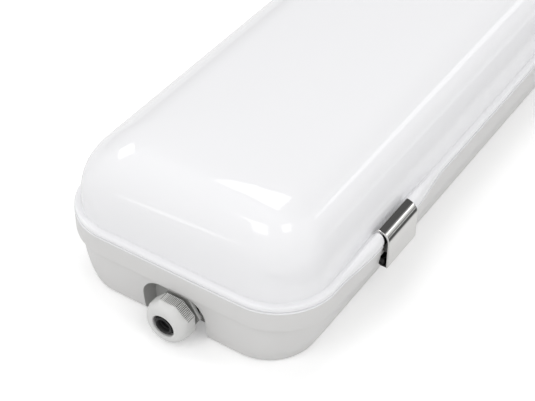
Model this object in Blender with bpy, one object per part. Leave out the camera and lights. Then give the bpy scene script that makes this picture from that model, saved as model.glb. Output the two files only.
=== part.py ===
"""Vapor tight light fixture of the four-foot class, lying on its back with the diffuser up.

Lengths are in metres. The origin is the centre of the flat back. +X runs along the fixture, with the
cable gland at the -X end, and +Z runs from the back to the diffuser. The two long sides are alike, and
turning the housing half a turn about Z brings it onto itself.
"""
import math

import bmesh
import bpy
from mathutils import Matrix, Vector

# The case as a whole
fixture_length = 1.230
rim_width = 0.146
rim_corner_radius = 0.032
fit_gap = 0.0003
cut_overrun = 0.004

# Housing: lower body, band round the rim, gasket groove
housing_wall = 0.0025
foot_side_inset = 0.0091
foot_end_inset = 0.0036
foot_radius = 0.0025
body_side_inset = 0.0032
body_end_inset = 0.0020
crease_height = 0.0262
ledge_rise = 0.0008
band_height = 0.0118
band_edge = 0.0005
groove_inset = 0.0034
groove_width = 0.0058
groove_depth = 0.0065
groove_rib = 0.0018
groove_rib_drop = 0.0010
body_curve_shares = [(0.0, 1.0), (0.12, 0.70), (0.36, 0.36), (0.70, 0.10), (1.0, 0.0)]

# Diffuser: lip, tongue that presses the gasket, domed cover
parting_gap = 0.0005
lip_inset = 0.0002
lip_thickness = 0.0028
lip_edge = 0.0008
lip_edge_share = 0.3
lip_foot_share = 0.78
ledge_width = 0.0032
ledge_middle_share = 0.65
diffuser_wall = 0.0022
base_fillet = 0.0005
dome_draft = 0.0004
dome_wall_height = 0.00515
shoulder_height = 0.0340
shoulder_width = 0.0340
crown_rise = 0.0014
crown_inset = 0.0500
crown_share = 0.7
cap_half_width = 0.0080
tongue_inset = 0.0054
tongue_width = 0.0018
tongue_depth = 0.0026
dome_radius_least = 0.0140
dome_radius_share = 0.6
cap_radius_share = 0.9

# Swelling of lip and band at each latch, where the lip rises to a round bead. The seat that is left
# for the latch between two swellings is a little lower.
hump = 0.0032
band_hump_share = 0.72
hump_flat = 0.036
hump_ramp = 0.034
bead_rise = 0.0038
seat_share = 0.85
seat_gap = 0.0004
seat_edge = 0.0003
bead_shares = {"wall": (0.0, 0.35), "ledge": (0.1, 0.45), "inner": (0.3, 0.93), "crest": (0.45, 1.0),
               "outer": (0.72, 0.82), "edge": (0.95, 0.48), "side": (1.0, 0.12)}
ramp_shares = [(0.0, 0.0), (0.33, 0.24), (0.67, 0.76), (1.0, 1.0)]

# Latches
latches_a_side = 4
latch_end_distance = 0.085
latch_width = 0.0275
latch_sheet = 0.0010
latch_plate_gap = 0.0013
latch_roll_radius = 0.0046
latch_hook_deg = 117.0
latch_rest_gap = 0.0007
latch_bend_radius = 0.0012
pivot_inset = 0.0016
pivot_height = 0.0260
pin_radius = 0.0012
pin_running_gap = 0.00025
pin_end_inset = 0.0010
eye_wrap_deg = 215.0
lug_width = 0.0136
lug_wall = 0.0009
lug_under_deg = 137.0
lug_side_gap = 0.0010
eye_pocket_gap = 0.0005

# Recess in each end wall, and the boss that the gland or plug is seated on
recess_width = 0.037
recess_side_offset = 0.0008
recess_corner = 0.0115
recess_depth = 0.0120
recess_lead_in = 0.0010
boss_wall = 0.0017
boss_height = 0.00605
entry_side_offset = 0.0042
entry_floor_gap = 0.0014

# Cable gland, with places along its axis counted outwards from the end of the rim
thread_radius = 0.0080
washer_thickness = 0.0013
washer_width = 0.0013
flange_ledge = 0.0025
flange_thickness = 0.0022
flange_chamfer = 0.0006
nut_wall = 0.0031
nut_flat_length = 0.0058
nut_dome_length = 0.0051
nut_stand_off = 0.00215
nut_dome_shares = [(0.45, 0.18), (0.80, 0.52)]
nut_bevel_share = 0.4
nut_face_drop = 0.0036
nut_hole_ledge = 0.0021
nut_front_wall = 0.0022
barrel_front = 0.0063
barrel_tail = 0.0220
barrel_rear_wall = 0.0024
barrel_wall = 0.0011
insert_travel = 0.0022
seal_wall = 0.00195
seal_recess = 0.0012
cage_wall = 0.0009
cage_slots = 6
cage_slot_width = 0.0016
cage_ring_share = 0.35
cage_turn_share = 0.25
locknut_wall = 0.0016
locknut_thickness = 0.0045
plug_head_ledge = 0.0018
plug_head_thickness = 0.0034
plug_slot_width = 0.0022
plug_slot_depth = 0.0014
plug_tail = 0.0200

# Gear tray and what it carries
tray_sheet = 0.0008
tray_underside = 0.0332
tray_side_gap = 0.0022
tray_flange = 0.0100
tray_end_distance = 0.0320
post_radius = 0.0042
post_end_distance = 0.0800
post_edge_distance = 0.0138
post_hole_depth = 0.0120
screw_radius = 0.0015
screw_length = 0.0100
screw_head_radius = 0.0030
screw_head_height = 0.0018
screw_head_shares = (0.6, 0.7)
screw_hole_gap = 0.0004
board_count = 3
board_end_distance = 0.0520
board_gap = 0.0080
board_side_gap = 0.0070
board_thickness = 0.0016
board_screw_end = 0.0080
driver_length = 0.230
driver_width = 0.036
driver_height = 0.0230
driver_tab = 0.0120
driver_tab_thickness = 0.0016
driver_place = 0.1900
driver_edge_distance = 0.0078
terminal_length = 0.034
terminal_width = 0.0200
terminal_height = 0.0150
terminal_end_distance = 0.0900
terminal_edge_distance = 0.0198
earth_nut_across = 0.0070
earth_nut_height = 0.0032
earth_end_distance = 0.1400
lead_radius = 0.0011
lead_pitch = 0.0060
lead_drop = 0.0070
lead_start = 0.0012
lead_hole_radius = 0.0050
lead_hole_distance = 0.0200
lead_bend = 0.0012
lead_reach = 0.0030
corner_cut_share = 0.25

# Facets
corner_steps = 6
shoulder_steps = 7
hook_steps = 7
eye_steps = 7
bend_steps = 3
round_sides = 12
gland_sides = {0: 24, 6: 24, 8: 32}

half_length = fixture_length / 2
half_width = rim_width / 2
rim_height = crease_height + band_height
lip_bottom = rim_height + parting_gap
lip_top = lip_bottom + lip_thickness
dome_wall_top = lip_top + dome_wall_height
shoulder_top = dome_wall_top + shoulder_height
dome_top = shoulder_top + crown_rise
rib_inset = groove_inset + groove_width + groove_rib
thread_bore = thread_radius + fit_gap
boss_radius = thread_bore + boss_wall
washer_radius = thread_bore + washer_width
flange_across = 2 * (thread_radius + flange_ledge)
nut_across = 2 * (thread_bore + nut_wall)
nut_face_radius = nut_across / 2 - nut_face_drop
nut_hole_radius = thread_radius - nut_hole_ledge
barrel_bore = thread_radius - barrel_rear_wall
locknut_across = 2 * (thread_bore + locknut_wall)
plug_head_radius = thread_radius + plug_head_ledge
entry_height = nut_across / 2 + entry_floor_gap
recess_height = entry_height + flange_across / 2 + fit_gap
hump_width = half_width + hump
pivot_side = hump_width - pivot_inset
post_top = tray_underside - fit_gap
tray_top = tray_underside + tray_sheet
tray_half_width = half_width - rib_inset - tray_side_gap
board_length = (2 * (half_length - board_end_distance) - (board_count - 1) * board_gap) / board_count
driver_side = tray_half_width - driver_edge_distance - driver_width / 2
terminal_side = tray_half_width - terminal_edge_distance - terminal_width / 2
board_width = 2 * (terminal_side - screw_head_radius - board_side_gap)


def material(name, colour, roughness, metallic=0.0):
    made = bpy.data.materials.new(name)
    made.use_nodes = True
    shader = made.node_tree.nodes["Principled BSDF"]
    shader.inputs["Base Color"].default_value = (*colour, 1.0)
    shader.inputs["Roughness"].default_value = roughness
    shader.inputs["Metallic"].default_value = metallic
    made.diffuse_color = (*colour, 1.0)
    return made


def ring_mesh(name, rings, closed=False):
    """A closed mesh through rings of equal point count. Its two end rings are capped, or joined if closed."""
    shape = bmesh.new()
    rows = [[shape.verts.new(point) for point in ring] for ring in rings]
    pairs = list(zip(rows, rows[1:]))
    if closed:
        pairs.append((rows[-1], rows[0]))
    for low, high in pairs:
        for i in range(len(low)):
            j = (i + 1) % len(low)
            shape.faces.new((low[i], low[j], high[j], high[i]))
    if not closed:
        shape.faces.new(rows[0])
        shape.faces.new(rows[-1])
    bmesh.ops.recalc_face_normals(shape, faces=shape.faces)
    mesh = bpy.data.meshes.new(name)
    shape.to_mesh(mesh)
    shape.free()
    return mesh


def joined_mesh(name, meshes):
    """One mesh that holds several separate solids, for a cutter or an addition."""
    shape = bmesh.new()
    for mesh in meshes:
        shape.from_mesh(mesh)
        bpy.data.meshes.remove(mesh)
    mesh = bpy.data.meshes.new(name)
    shape.to_mesh(mesh)
    shape.free()
    return mesh


def placed(mesh, matrix):
    mesh.transform(matrix)
    return mesh


def half_turned(mesh):
    """A copy of the mesh turned half a turn about Z."""
    other = mesh.copy()
    other.transform(Matrix.Rotation(math.pi, 4, "Z"))
    return other


def add(name, mesh, finish, location=(0, 0, 0), turn=0.0, parent=None, smooth=False):
    mesh.materials.clear()
    mesh.materials.append(finish)
    piece = bpy.data.objects.new(name, mesh)
    bpy.context.scene.collection.objects.link(piece)
    piece.location = location
    piece.rotation_euler = (0, 0, turn)
    piece.parent = parent
    if smooth:
        mesh.shade_smooth()
        mesh.set_sharp_from_angle(angle=math.radians(35))
    return piece


def helper(name, mesh):
    """A cutter or an addition: seen as wires, and left out of a render."""
    tool = bpy.data.objects.new(name, mesh)
    bpy.context.scene.collection.objects.link(tool)
    tool.hide_render = True
    tool.display_type = "WIRE"
    return tool


def combine(piece, tool, operation):
    change = piece.modifiers.new(tool.name, "BOOLEAN")
    change.operation = operation
    change.solver = "EXACT"
    change.object = tool


def box_mesh(name, low, high):
    (x0, y0, z0), (x1, y1, z1) = low, high
    rings = [[(x0, y0, z), (x1, y0, z), (x1, y1, z), (x0, y1, z)] for z in (z0, z1)]
    return ring_mesh(name, rings)


def bar_mesh(name, outline, x0, x1):
    """A solid between x0 and x1 whose section is an outline of (y, z) points."""
    return ring_mesh(name, [[(x, y, z) for y, z in outline] for x in (x0, x1)])


def round_mesh(name, profile, sides=round_sides):
    """A solid about Z from a profile of (radius, height) points, capped at both ends."""
    turns = [2 * math.pi * k / sides for k in range(sides)]
    return ring_mesh(name, [[(r * math.cos(a), r * math.sin(a), z) for a in turns] for r, z in profile])


def flat_factor(angle, flats):
    """How much further than its flats a polygon reaches at an angle, with a flat facing +Z."""
    half = math.pi / flats
    return 1 / math.cos((angle - math.pi / 2 + half) % (2 * half) - half)


def gland_mesh(name, profile, closed, flats=0):
    """A solid about the entry's axis, which is local -X. The profile holds (place, radius, kind), with place
    counted outwards from the end of the rim, and kind round or flat, where flat gives half the size across."""
    sides = gland_sides[flats]
    rings = []
    for place, radius, kind in profile:
        ring = []
        for k in range(sides):
            angle = 2 * math.pi * k / sides
            reach = radius * (flat_factor(angle, flats) if kind == "flat" else 1)
            ring.append((-place, reach * math.cos(angle), reach * math.sin(angle)))
        rings.append(ring)
    return ring_mesh(name, rings, closed)


def latch_places():
    first = latch_end_distance - half_length
    step = -2 * first / (latches_a_side - 1)
    return [first + step * i for i in range(latches_a_side)]


def side_stations():
    """(place along the side, share of the swelling) for the points of the +Y side, from -X to +X."""
    seat = latch_width / 2 + seat_gap
    stations = []
    for place in latch_places():
        for along, swell in ramp_shares:
            stations.append((place - hump_flat / 2 - hump_ramp * (1 - along), swell))
        stations += [(place - seat - seat_edge, 1), (place - seat, seat_share)]
        stations += [(place + seat, seat_share), (place + seat + seat_edge, 1)]
        for along, swell in reversed(ramp_shares):
            stations.append((place + hump_flat / 2 + hump_ramp * (1 - along), swell))
    return stations


def plan(side_inset, end_inset, radius, swell, height, plain=False, rise=0.0):
    """One rounded rectangle as a ring of points. Swell and rise are how far it stands out and up at each latch."""
    a = half_length - end_inset
    b = half_width - side_inset
    stretch = (a - radius) / (half_length - rim_corner_radius)
    side = [] if plain else [(x * stretch, b + swell * share, height + rise * share) for x, share in side_stations()]
    corner = []
    for k in range(corner_steps + 1):
        angle = math.pi / 2 * k / corner_steps
        corner.append((a - radius + radius * math.cos(angle), b - radius + radius * math.sin(angle), height))
    half = corner + list(reversed(side))
    half += [(-x, y, z) for x, y, z in reversed(corner)]
    return half + [(-x, -y, z) for x, y, z in half]


def rim_ring(side_inset, height, swell_share=0.0, end_inset=None, plain=False, rise_share=0.0):
    """A ring that keeps to the rim's outline, drawn in by an inset."""
    end = side_inset if end_inset is None else end_inset
    radius = rim_corner_radius - (side_inset + end) / 2
    return plan(side_inset, end, radius, hump * swell_share, height, plain, bead_rise * rise_share)


def bead_ring(side_inset, height, row):
    """A ring of the lip's upper side, swollen by a named row of the bead's shares."""
    swell_share, rise_share = bead_shares[row]
    return rim_ring(side_inset, height, swell_share, rise_share=rise_share)


def body_rows(offset, lowest):
    """The lower body's side from the foot up, drawn in by a further offset, as rim_ring arguments."""
    rows = []
    for height_share, inset_share in body_curve_shares:
        height = foot_radius + (crease_height - foot_radius) * height_share
        side = body_side_inset + (foot_side_inset - body_side_inset) * inset_share
        end = body_end_inset + (foot_end_inset - body_end_inset) * inset_share
        if height > lowest:
            rows.append((side + offset, height, end + offset))
    return rows


def housing_mesh():
    bend = foot_radius * (1 - math.cos(math.pi / 4))
    rings = [
        rim_ring(foot_side_inset + foot_radius, 0, 0, foot_end_inset + foot_radius),
        rim_ring(foot_side_inset + bend, bend, 0, foot_end_inset + bend),
    ]
    for side, height, end in body_rows(0, 0):
        rings.append(rim_ring(side, height, 0, end))
    rings += [
        rim_ring(body_side_inset, crease_height + ledge_rise, 0, body_end_inset),
        rim_ring(band_edge, crease_height, band_hump_share),
        rim_ring(0, crease_height + band_edge, band_hump_share),
        rim_ring(0, rim_height - band_edge, band_hump_share),
        rim_ring(band_edge, rim_height, band_hump_share),
        rim_ring(groove_inset, rim_height),
        rim_ring(groove_inset, rim_height - groove_depth),
        rim_ring(groove_inset + groove_width, rim_height - groove_depth),
        rim_ring(groove_inset + groove_width, rim_height - groove_rib_drop),
        rim_ring(rib_inset, rim_height - groove_rib_drop),
    ]
    return ring_mesh("housing", rings)


def cavity_mesh():
    """The room inside the housing, as a solid that runs out through the open top."""
    rings = [
        rim_ring(rib_inset, rim_height + cut_overrun, plain=True),
        rim_ring(rib_inset, rim_height - groove_depth - housing_wall, plain=True),
    ]
    inner = [row for row in body_rows(housing_wall, 2 * housing_wall) if row[1] < crease_height]
    for side, height, end in reversed(inner):
        rings.append(rim_ring(side, height, 0, end, True))
    rings.append(rim_ring(foot_side_inset + foot_radius, housing_wall, 0, foot_end_inset + foot_radius, True))
    return ring_mesh("cavity", rings)


def lug_outline():
    """Section of the lug that holds a latch's pin: from inside the wall, under the band, to a round nose."""
    nose = pin_radius + pin_running_gap + lug_wall
    root = half_width - foot_side_inset
    start = -math.radians(lug_under_deg)
    points = [(root, pivot_height + nose * math.sin(start))]
    for k in range(hook_steps + 1):
        angle = start + (math.pi / 2 - start) * k / hook_steps
        points.append((pivot_side + nose * math.cos(angle), pivot_height + nose * math.sin(angle)))
    points.append((pivot_side, crease_height + 2 * ledge_rise))
    points.append((root, crease_height + 2 * ledge_rise))
    return points


def recess_outline(grow, low):
    """The arch of the recess, widened by a wall and cut off below."""
    half = recess_width / 2 + grow
    top = recess_height + grow
    radius = recess_corner + grow
    shift = -recess_side_offset
    points = []
    for k in range(corner_steps + 1):
        angle = math.pi / 2 * k / corner_steps
        points.append((half - radius + radius * math.cos(angle), top - radius + radius * math.sin(angle)))
    points += [(-y, z) for y, z in reversed(points)]
    points = [(half, low)] + points + [(-half, low)]
    return [(y + shift, z) for y, z in points]


def entry_matrix():
    """Puts a piece made about local -X onto the gland's axis, at the end of the rim."""
    return Matrix.Translation((-half_length, -entry_side_offset, entry_height))


def recess_block(name, grow, low, x0, x1):
    return bar_mesh(name, recess_outline(grow, low), x0 - half_length, x1 - half_length)


def both_ends(meshes):
    """The meshes and their half-turned copies."""
    return [half_turned(mesh) for mesh in meshes] + meshes


def make_housing(finish):
    piece = add("housing", housing_mesh(), finish, smooth=True)
    outline = lug_outline()
    hole = pin_radius + pin_running_gap
    reach = lug_width / 2 + lug_side_gap
    eye_pocket = pin_radius + pin_running_gap + latch_sheet + eye_pocket_gap
    lugs, pin_holes, pockets = [], [], []
    for place in latch_places():
        lugs.append(bar_mesh("lug", outline, place - lug_width / 2, place + lug_width / 2))
        drill = round_mesh("drill", [(hole, -reach), (hole, reach)])
        drill.transform(Matrix.Translation((place, pivot_side, pivot_height)) @ Matrix.Rotation(math.pi / 2, 4, "Y"))
        pin_holes.append(drill)
        for side in (-1, 1):
            ends = [(eye_pocket, side * lug_width / 2), (eye_pocket, side * (latch_width / 2 + lug_side_gap))]
            pockets.append(round_mesh("eye_pocket", ends))
            pockets[-1].transform(
                Matrix.Translation((place, pivot_side, pivot_height)) @ Matrix.Rotation(math.pi / 2, 4, "Y")
            )
    posts, post_holes = [], []
    hole_profile = [(screw_radius + screw_hole_gap, height) for height in (post_top - post_hole_depth, rim_height)]
    for x, y in post_places():
        at = Matrix.Translation((x, y, 0))
        posts.append(placed(round_mesh("post", [(post_radius, housing_wall / 2), (post_radius, post_top)]), at))
        post_holes.append(placed(round_mesh("hole", hole_profile), at))
    pocket = recess_block("pocket", housing_wall, -cut_overrun, recess_lead_in, recess_depth + housing_wall)
    recess = recess_block("recess", 0, -cut_overrun, -cut_overrun, recess_depth)
    boss_face = boss_height - recess_depth
    boss_root = -recess_depth - housing_wall
    boss_profile = [(boss_face, boss_radius, "round"), (boss_root + boss_height / 4, boss_radius, "round")]
    boss = placed(gland_mesh("boss", boss_profile, False), entry_matrix())
    bore_radius = thread_bore
    bore_profile = [(boss_face + cut_overrun, bore_radius, "round"), (boss_root - cut_overrun, bore_radius, "round")]
    bore = placed(gland_mesh("bore", bore_profile, False), entry_matrix())
    cavity = helper("cavity", cavity_mesh())
    combine(cavity, helper("cavity_blocks", joined_mesh("cavity_blocks", posts + both_ends([pocket]))), "DIFFERENCE")
    combine(piece, cavity, "DIFFERENCE")
    combine(piece, helper("latch_lugs", joined_mesh("latch_lugs", both_ends(lugs))), "UNION")
    combine(piece, helper("eye_pockets", joined_mesh("eye_pockets", both_ends(pockets))), "DIFFERENCE")
    cuts = pin_holes + [recess]
    combine(piece, helper("housing_cuts", joined_mesh("housing_cuts", both_ends(cuts) + post_holes)), "DIFFERENCE")
    combine(piece, helper("entry_bosses", joined_mesh("entry_bosses", both_ends([boss]))), "UNION")
    combine(piece, helper("entry_bores", joined_mesh("entry_bores", both_ends([bore]))), "DIFFERENCE")
    return piece


def dome_ring(inset, height):
    """A ring of the dome, whose corners tighten less fast than its sides draw in above the foot."""
    foot = ledge_width + base_fillet
    radius = max(rim_corner_radius - foot - dome_radius_share * (inset - foot), dome_radius_least)
    radius = min(radius, (half_width - inset) * cap_radius_share)
    return plan(inset, inset, radius, 0, height)


def dome_rings(wall):
    """The dome's rings from the wall's top to the crown, drawn in by the thickness of the wall."""
    rings = []
    for k in range(shoulder_steps + 1):
        angle = math.pi / 2 * k / shoulder_steps
        inset = ledge_width + base_fillet + dome_draft + wall + (shoulder_width - wall) * (1 - math.cos(angle))
        rings.append(dome_ring(inset, dome_wall_top + (shoulder_height - wall) * math.sin(angle)))
    rings.append(dome_ring(crown_inset, shoulder_top + crown_rise * crown_share - wall))
    rings.append(dome_ring(half_width - cap_half_width, dome_top - wall))
    return rings


def make_diffuser(finish):
    base = ledge_width + base_fillet
    edge = lip_edge * lip_edge_share
    rings = list(reversed(dome_rings(0)))
    crest = lip_inset + lip_edge + (ledge_width - lip_inset - lip_edge) * (1 - ledge_middle_share)
    rings += [
        bead_ring(base, lip_top + base_fillet, "wall"),
        bead_ring(ledge_width, lip_top, "ledge"),
        bead_ring(crest + (ledge_width - crest) * (1 - ledge_middle_share), lip_top, "inner"),
        bead_ring(crest, lip_top, "crest"),
        bead_ring(lip_inset + lip_edge, lip_top, "outer"),
        bead_ring(lip_inset + edge, lip_top - edge, "edge"),
        bead_ring(lip_inset, lip_top - lip_edge, "side"),
        rim_ring(lip_inset, (lip_top - lip_edge + lip_bottom) / 2, 1),
        rim_ring(lip_inset, lip_bottom, lip_foot_share),
        rim_ring(tongue_inset, lip_bottom),
        rim_ring(tongue_inset, rim_height - tongue_depth),
        rim_ring(tongue_inset + tongue_width, rim_height - tongue_depth),
        rim_ring(tongue_inset + tongue_width, lip_top),
    ]
    rings += dome_rings(diffuser_wall)
    return add("diffuser", ring_mesh("diffuser", rings), finish, smooth=True)


def make_gasket(finish):
    outer = groove_inset + fit_gap
    inner = groove_inset + groove_width - fit_gap
    low = rim_height - groove_depth + fit_gap
    high = rim_height - tongue_depth - fit_gap
    rings = [rim_ring(inset, z, plain=True) for inset, z in ((outer, low), (outer, high), (inner, high), (inner, low))]
    return add("gasket", ring_mesh("gasket", rings, closed=True), finish, smooth=True)


def latch_centreline():
    """(outward, up) points of the sheet's middle, counted from the pin's axis, hook tip first."""
    half_sheet = latch_sheet / 2
    plate_out = hump_width + latch_plate_gap + half_sheet - pivot_side
    roll_up = lip_top + bead_rise * seat_share + latch_rest_gap + half_sheet - latch_roll_radius - pivot_height
    points = []
    for k in range(hook_steps + 1):
        angle = math.radians(latch_hook_deg) * (1 - k / hook_steps)
        points.append((
            plate_out - latch_roll_radius + latch_roll_radius * math.cos(angle),
            roll_up + latch_roll_radius * math.sin(angle),
        ))
    eye = pin_radius + pin_running_gap + half_sheet
    bend = latch_bend_radius
    for k in range(bend_steps + 1):
        angle = -math.pi / 2 * k / bend_steps
        points.append((plate_out - bend + bend * math.cos(angle), bend - eye + bend * math.sin(angle)))
    for k in range(eye_steps + 1):
        angle = -math.pi / 2 - math.radians(eye_wrap_deg) * k / eye_steps
        points.append((eye * math.cos(angle), eye * math.sin(angle)))
    return points


def thickened(points, half):
    """The closed outline of a strip of even thickness along a line of points."""
    left, right = [], []
    for i, (u, v) in enumerate(points):
        before = points[max(i - 1, 0)]
        after = points[min(i + 1, len(points) - 1)]
        first = Vector((u - before[0], v - before[1]))
        second = Vector((after[0] - u, after[1] - v))
        first = first.normalized() if first.length else second.normalized()
        second = second.normalized() if second.length else first
        middle = (first + second).normalized()
        width = half / middle.dot(first)
        normal = Vector((-middle.y, middle.x))
        left.append((u + normal.x * width, v + normal.y * width))
        right.append((u - normal.x * width, v - normal.y * width))
    return left + list(reversed(right))


def latch_mesh():
    """The strip bent along its centreline. In the middle its eye is cut away for the lug, behind the plate."""
    outline = [(-out, up) for out, up in thickened(latch_centreline(), latch_sheet / 2)]
    strip = bpy.data.objects.new("strip", bar_mesh("strip", outline, -latch_width / 2, latch_width / 2))
    bpy.context.scene.collection.objects.link(strip)
    half_notch = lug_width / 2 + lug_side_gap
    reach = hump + pivot_inset + cut_overrun
    plate_face = hump_width + latch_plate_gap - pivot_side
    notch = helper("notch", box_mesh("notch", (-half_notch, -plate_face, -reach), (half_notch, reach, reach)))
    combine(strip, notch, "DIFFERENCE")
    bpy.context.view_layer.update()
    mesh = bpy.data.meshes.new_from_object(strip.evaluated_get(bpy.context.evaluated_depsgraph_get()))
    mesh.name = "latch"
    for used in (strip, notch):
        bpy.data.objects.remove(used)
    return mesh


def make_latches(steel, pin_steel):
    mesh = latch_mesh()
    reach = latch_width / 2 - pin_end_inset
    pin = round_mesh("latch_pin", [(pin_radius, -reach), (pin_radius, reach)])
    pin.transform(Matrix.Rotation(math.pi / 2, 4, "Y"))
    number = 0
    for side in (-1, 1):
        for place in latch_places():
            number += 1
            spot = (place, side * pivot_side, pivot_height)
            turn = 0.0 if side < 0 else math.pi
            add(f"latch_{number}", mesh, steel, spot, turn, smooth=True)
            add(f"latch_pin_{number}", pin, pin_steel, spot, smooth=True)


def gland_places():
    """Places along the entry's axis that its pieces share."""
    seat = boss_height - recess_depth
    washer_in = seat + fit_gap
    flange_in = washer_in + washer_thickness + fit_gap
    flange_out = flange_in + flange_thickness
    nut_in = flange_out + nut_stand_off
    nut_shoulder = nut_in + nut_flat_length
    nut_out = nut_shoulder + nut_dome_length
    lock_out = -recess_depth - housing_wall - fit_gap
    return seat, washer_in, flange_in, flange_out, nut_in, nut_shoulder, nut_out, lock_out


def ring_piece(name, inside, outside, inner, outer, kind="round", flats=0):
    profile = [(inside, inner, "round"), (inside, outer, kind), (outside, outer, kind), (outside, inner, "round")]
    return gland_mesh(name, profile, True, flats)


def make_locknut(name, finish, entry):
    lock_out = gland_places()[-1]
    bore = thread_bore
    mesh = ring_piece(name, lock_out - locknut_thickness, lock_out, bore, locknut_across / 2, "flat", 6)
    return add(name, mesh, finish, parent=entry, smooth=True)


def make_washer(name, finish, entry):
    washer_in = gland_places()[1]
    mesh = ring_piece(name, washer_in, washer_in + washer_thickness, thread_bore, washer_radius)
    return add(name, mesh, finish, parent=entry, smooth=True)


def make_gland_body(finish, entry):
    _, _, flange_in, flange_out, _, _, _, _ = gland_places()
    across = flange_across / 2
    pocket = thread_radius - barrel_wall
    step = flange_out - insert_travel
    profile = [
        (-barrel_tail, barrel_bore, "round"),
        (-barrel_tail, thread_radius, "round"),
        (flange_in, thread_radius, "round"),
        (flange_in, across, "flat"),
        (flange_out - flange_chamfer, across, "flat"),
        (flange_out, across - flange_chamfer, "round"),
        (flange_out, thread_radius, "round"),
        (barrel_front, thread_radius, "round"),
        (barrel_front, pocket, "round"),
        (step, pocket, "round"),
        (step, barrel_bore, "round"),
    ]
    return add("gland_body", gland_mesh("gland_body", profile, True, 6), finish, parent=entry, smooth=True)


def make_gland_nut(finish, entry):
    _, _, _, _, nut_in, shoulder, out, _ = gland_places()
    across = nut_across / 2
    bore = thread_bore
    cone_in = barrel_front + insert_travel
    face_in = out - nut_front_wall
    profile = [
        (nut_in, bore, "round"),
        (nut_in, across, "flat"),
        (shoulder, across, "flat"),
        *[(shoulder + nut_dome_length * u, across - (across - nut_face_radius) * v, "round") for u, v in nut_dome_shares],
        (out, nut_face_radius, "round"),
        (out - (nut_face_radius - nut_hole_radius) * nut_bevel_share, nut_hole_radius, "round"),
        (face_in, nut_hole_radius, "round"),
        (face_in - fit_gap, nut_hole_radius + cage_wall, "round"),
        (min(cone_in, face_in - cage_wall), bore, "round"),
    ]
    return add("gland_nut", gland_mesh("gland_nut", profile, True, 8), finish, parent=entry, smooth=True)


def make_gland_insert(rubber, plastic, entry):
    """The rubber seal and the clamping cage round it, which travel with the nut."""
    _, _, _, flange_out, _, _, out, _ = gland_places()
    inside = flange_out + fit_gap
    cage_outer = thread_radius - barrel_wall - fit_gap
    cage_inner = cage_outer - cage_wall
    seal_outer = min(cage_inner, nut_hole_radius) - fit_gap
    front = out - seal_recess
    seal = ring_piece("gland_seal", inside, front, seal_outer - seal_wall, seal_outer)
    add("gland_seal", seal, rubber, parent=entry, smooth=True)
    tip = out - nut_front_wall - cage_wall
    root = inside + (tip - inside) * cage_ring_share
    cage = add("gland_cage", ring_piece("gland_cage", inside, tip, cage_inner, cage_outer), plastic, parent=entry)
    half = cage_slot_width / 2
    slots = []
    for k in range(cage_slots // 2):
        slot = box_mesh("slot", (-tip - cut_overrun, -half, -thread_radius), (-root, half, thread_radius))
        slots.append(placed(slot, Matrix.Rotation(2 * math.pi * (k + cage_turn_share) / cage_slots, 4, "X")))
    for k, slot in enumerate(slots):
        tool = helper(f"cage_slots_{k + 1}", slot)
        tool.parent = entry
        combine(cage, tool, "DIFFERENCE")


def make_plug(finish, entry):
    """The blanking plug of the far entry, with a slot for a coin."""
    _, _, head_in, _, _, _, _, _ = gland_places()
    head_out = head_in + plug_head_thickness
    profile = [
        (-plug_tail, thread_radius - barrel_wall, "round"),
        (-plug_tail, thread_radius, "round"),
        (head_in, thread_radius, "round"),
        (head_in, plug_head_radius, "round"),
        (head_out - flange_chamfer, plug_head_radius, "round"),
        (head_out, plug_head_radius - flange_chamfer, "round"),
    ]
    plug = add("blanking_plug", gland_mesh("blanking_plug", profile, False), finish, parent=entry, smooth=True)
    half = plug_slot_width / 2
    reach = plug_head_radius + cut_overrun
    slot = box_mesh("slot", (-head_out - cut_overrun, -reach, -half), (plug_slot_depth - head_out, reach, half))
    tool = helper("plug_slot", slot)
    tool.parent = entry
    combine(plug, tool, "DIFFERENCE")


def entry_empty(name, turn):
    """The end of the rim on an entry's axis, which its pieces hang from."""
    entry = bpy.data.objects.new(name, None)
    bpy.context.scene.collection.objects.link(entry)
    entry.matrix_world = Matrix.Rotation(turn, 4, "Z") @ entry_matrix()
    return entry


def post_places():
    x = half_length - post_end_distance
    y = tray_half_width - post_edge_distance
    return [(i * x, j * y) for i in (-1, 1) for j in (-1, 1)]


def board_centres():
    return [(i - (board_count - 1) / 2) * (board_length + board_gap) for i in range(board_count)]


def board_screw_places():
    reach = board_length / 2 - board_screw_end
    return [(centre + side * reach, 0) for centre in board_centres() for side in (-1, 1)]


def driver_screw_places():
    reach = driver_length / 2 + driver_tab / 2
    return [(driver_place + side * reach, driver_side) for side in (-1, 1)]


def terminal_place():
    return (terminal_end_distance - half_length, terminal_side)


def earth_place():
    return (earth_end_distance - half_length, terminal_side)


def holes_mesh(places, low, high, radius=screw_radius + screw_hole_gap):
    return joined_mesh("holes", [
        placed(round_mesh("hole", [(radius, low), (radius, high)]), Matrix.Translation((x, y, 0)))
        for x, y in places
    ])


def make_tray(finish):
    half = tray_half_width
    end = half_length - tray_end_distance
    low = tray_top - tray_flange
    outline = [
        (-half, low), (-half, tray_top), (half, tray_top), (half, low),
        (half - tray_sheet, low), (half - tray_sheet, tray_underside),
        (tray_sheet - half, tray_underside), (tray_sheet - half, low),
    ]
    tray = add("gear_tray", bar_mesh("gear_tray", outline, -end, end), finish)
    places = post_places() + board_screw_places() + driver_screw_places() + [terminal_place(), earth_place()]
    screw_holes = holes_mesh(places, tray_underside - cut_overrun, tray_top + cut_overrun)
    lead_hole = holes_mesh([lead_hole_place()], tray_underside - cut_overrun, tray_top + cut_overrun, lead_hole_radius)
    combine(tray, helper("tray_holes", joined_mesh("tray_holes", [screw_holes, lead_hole])), "DIFFERENCE")


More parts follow.
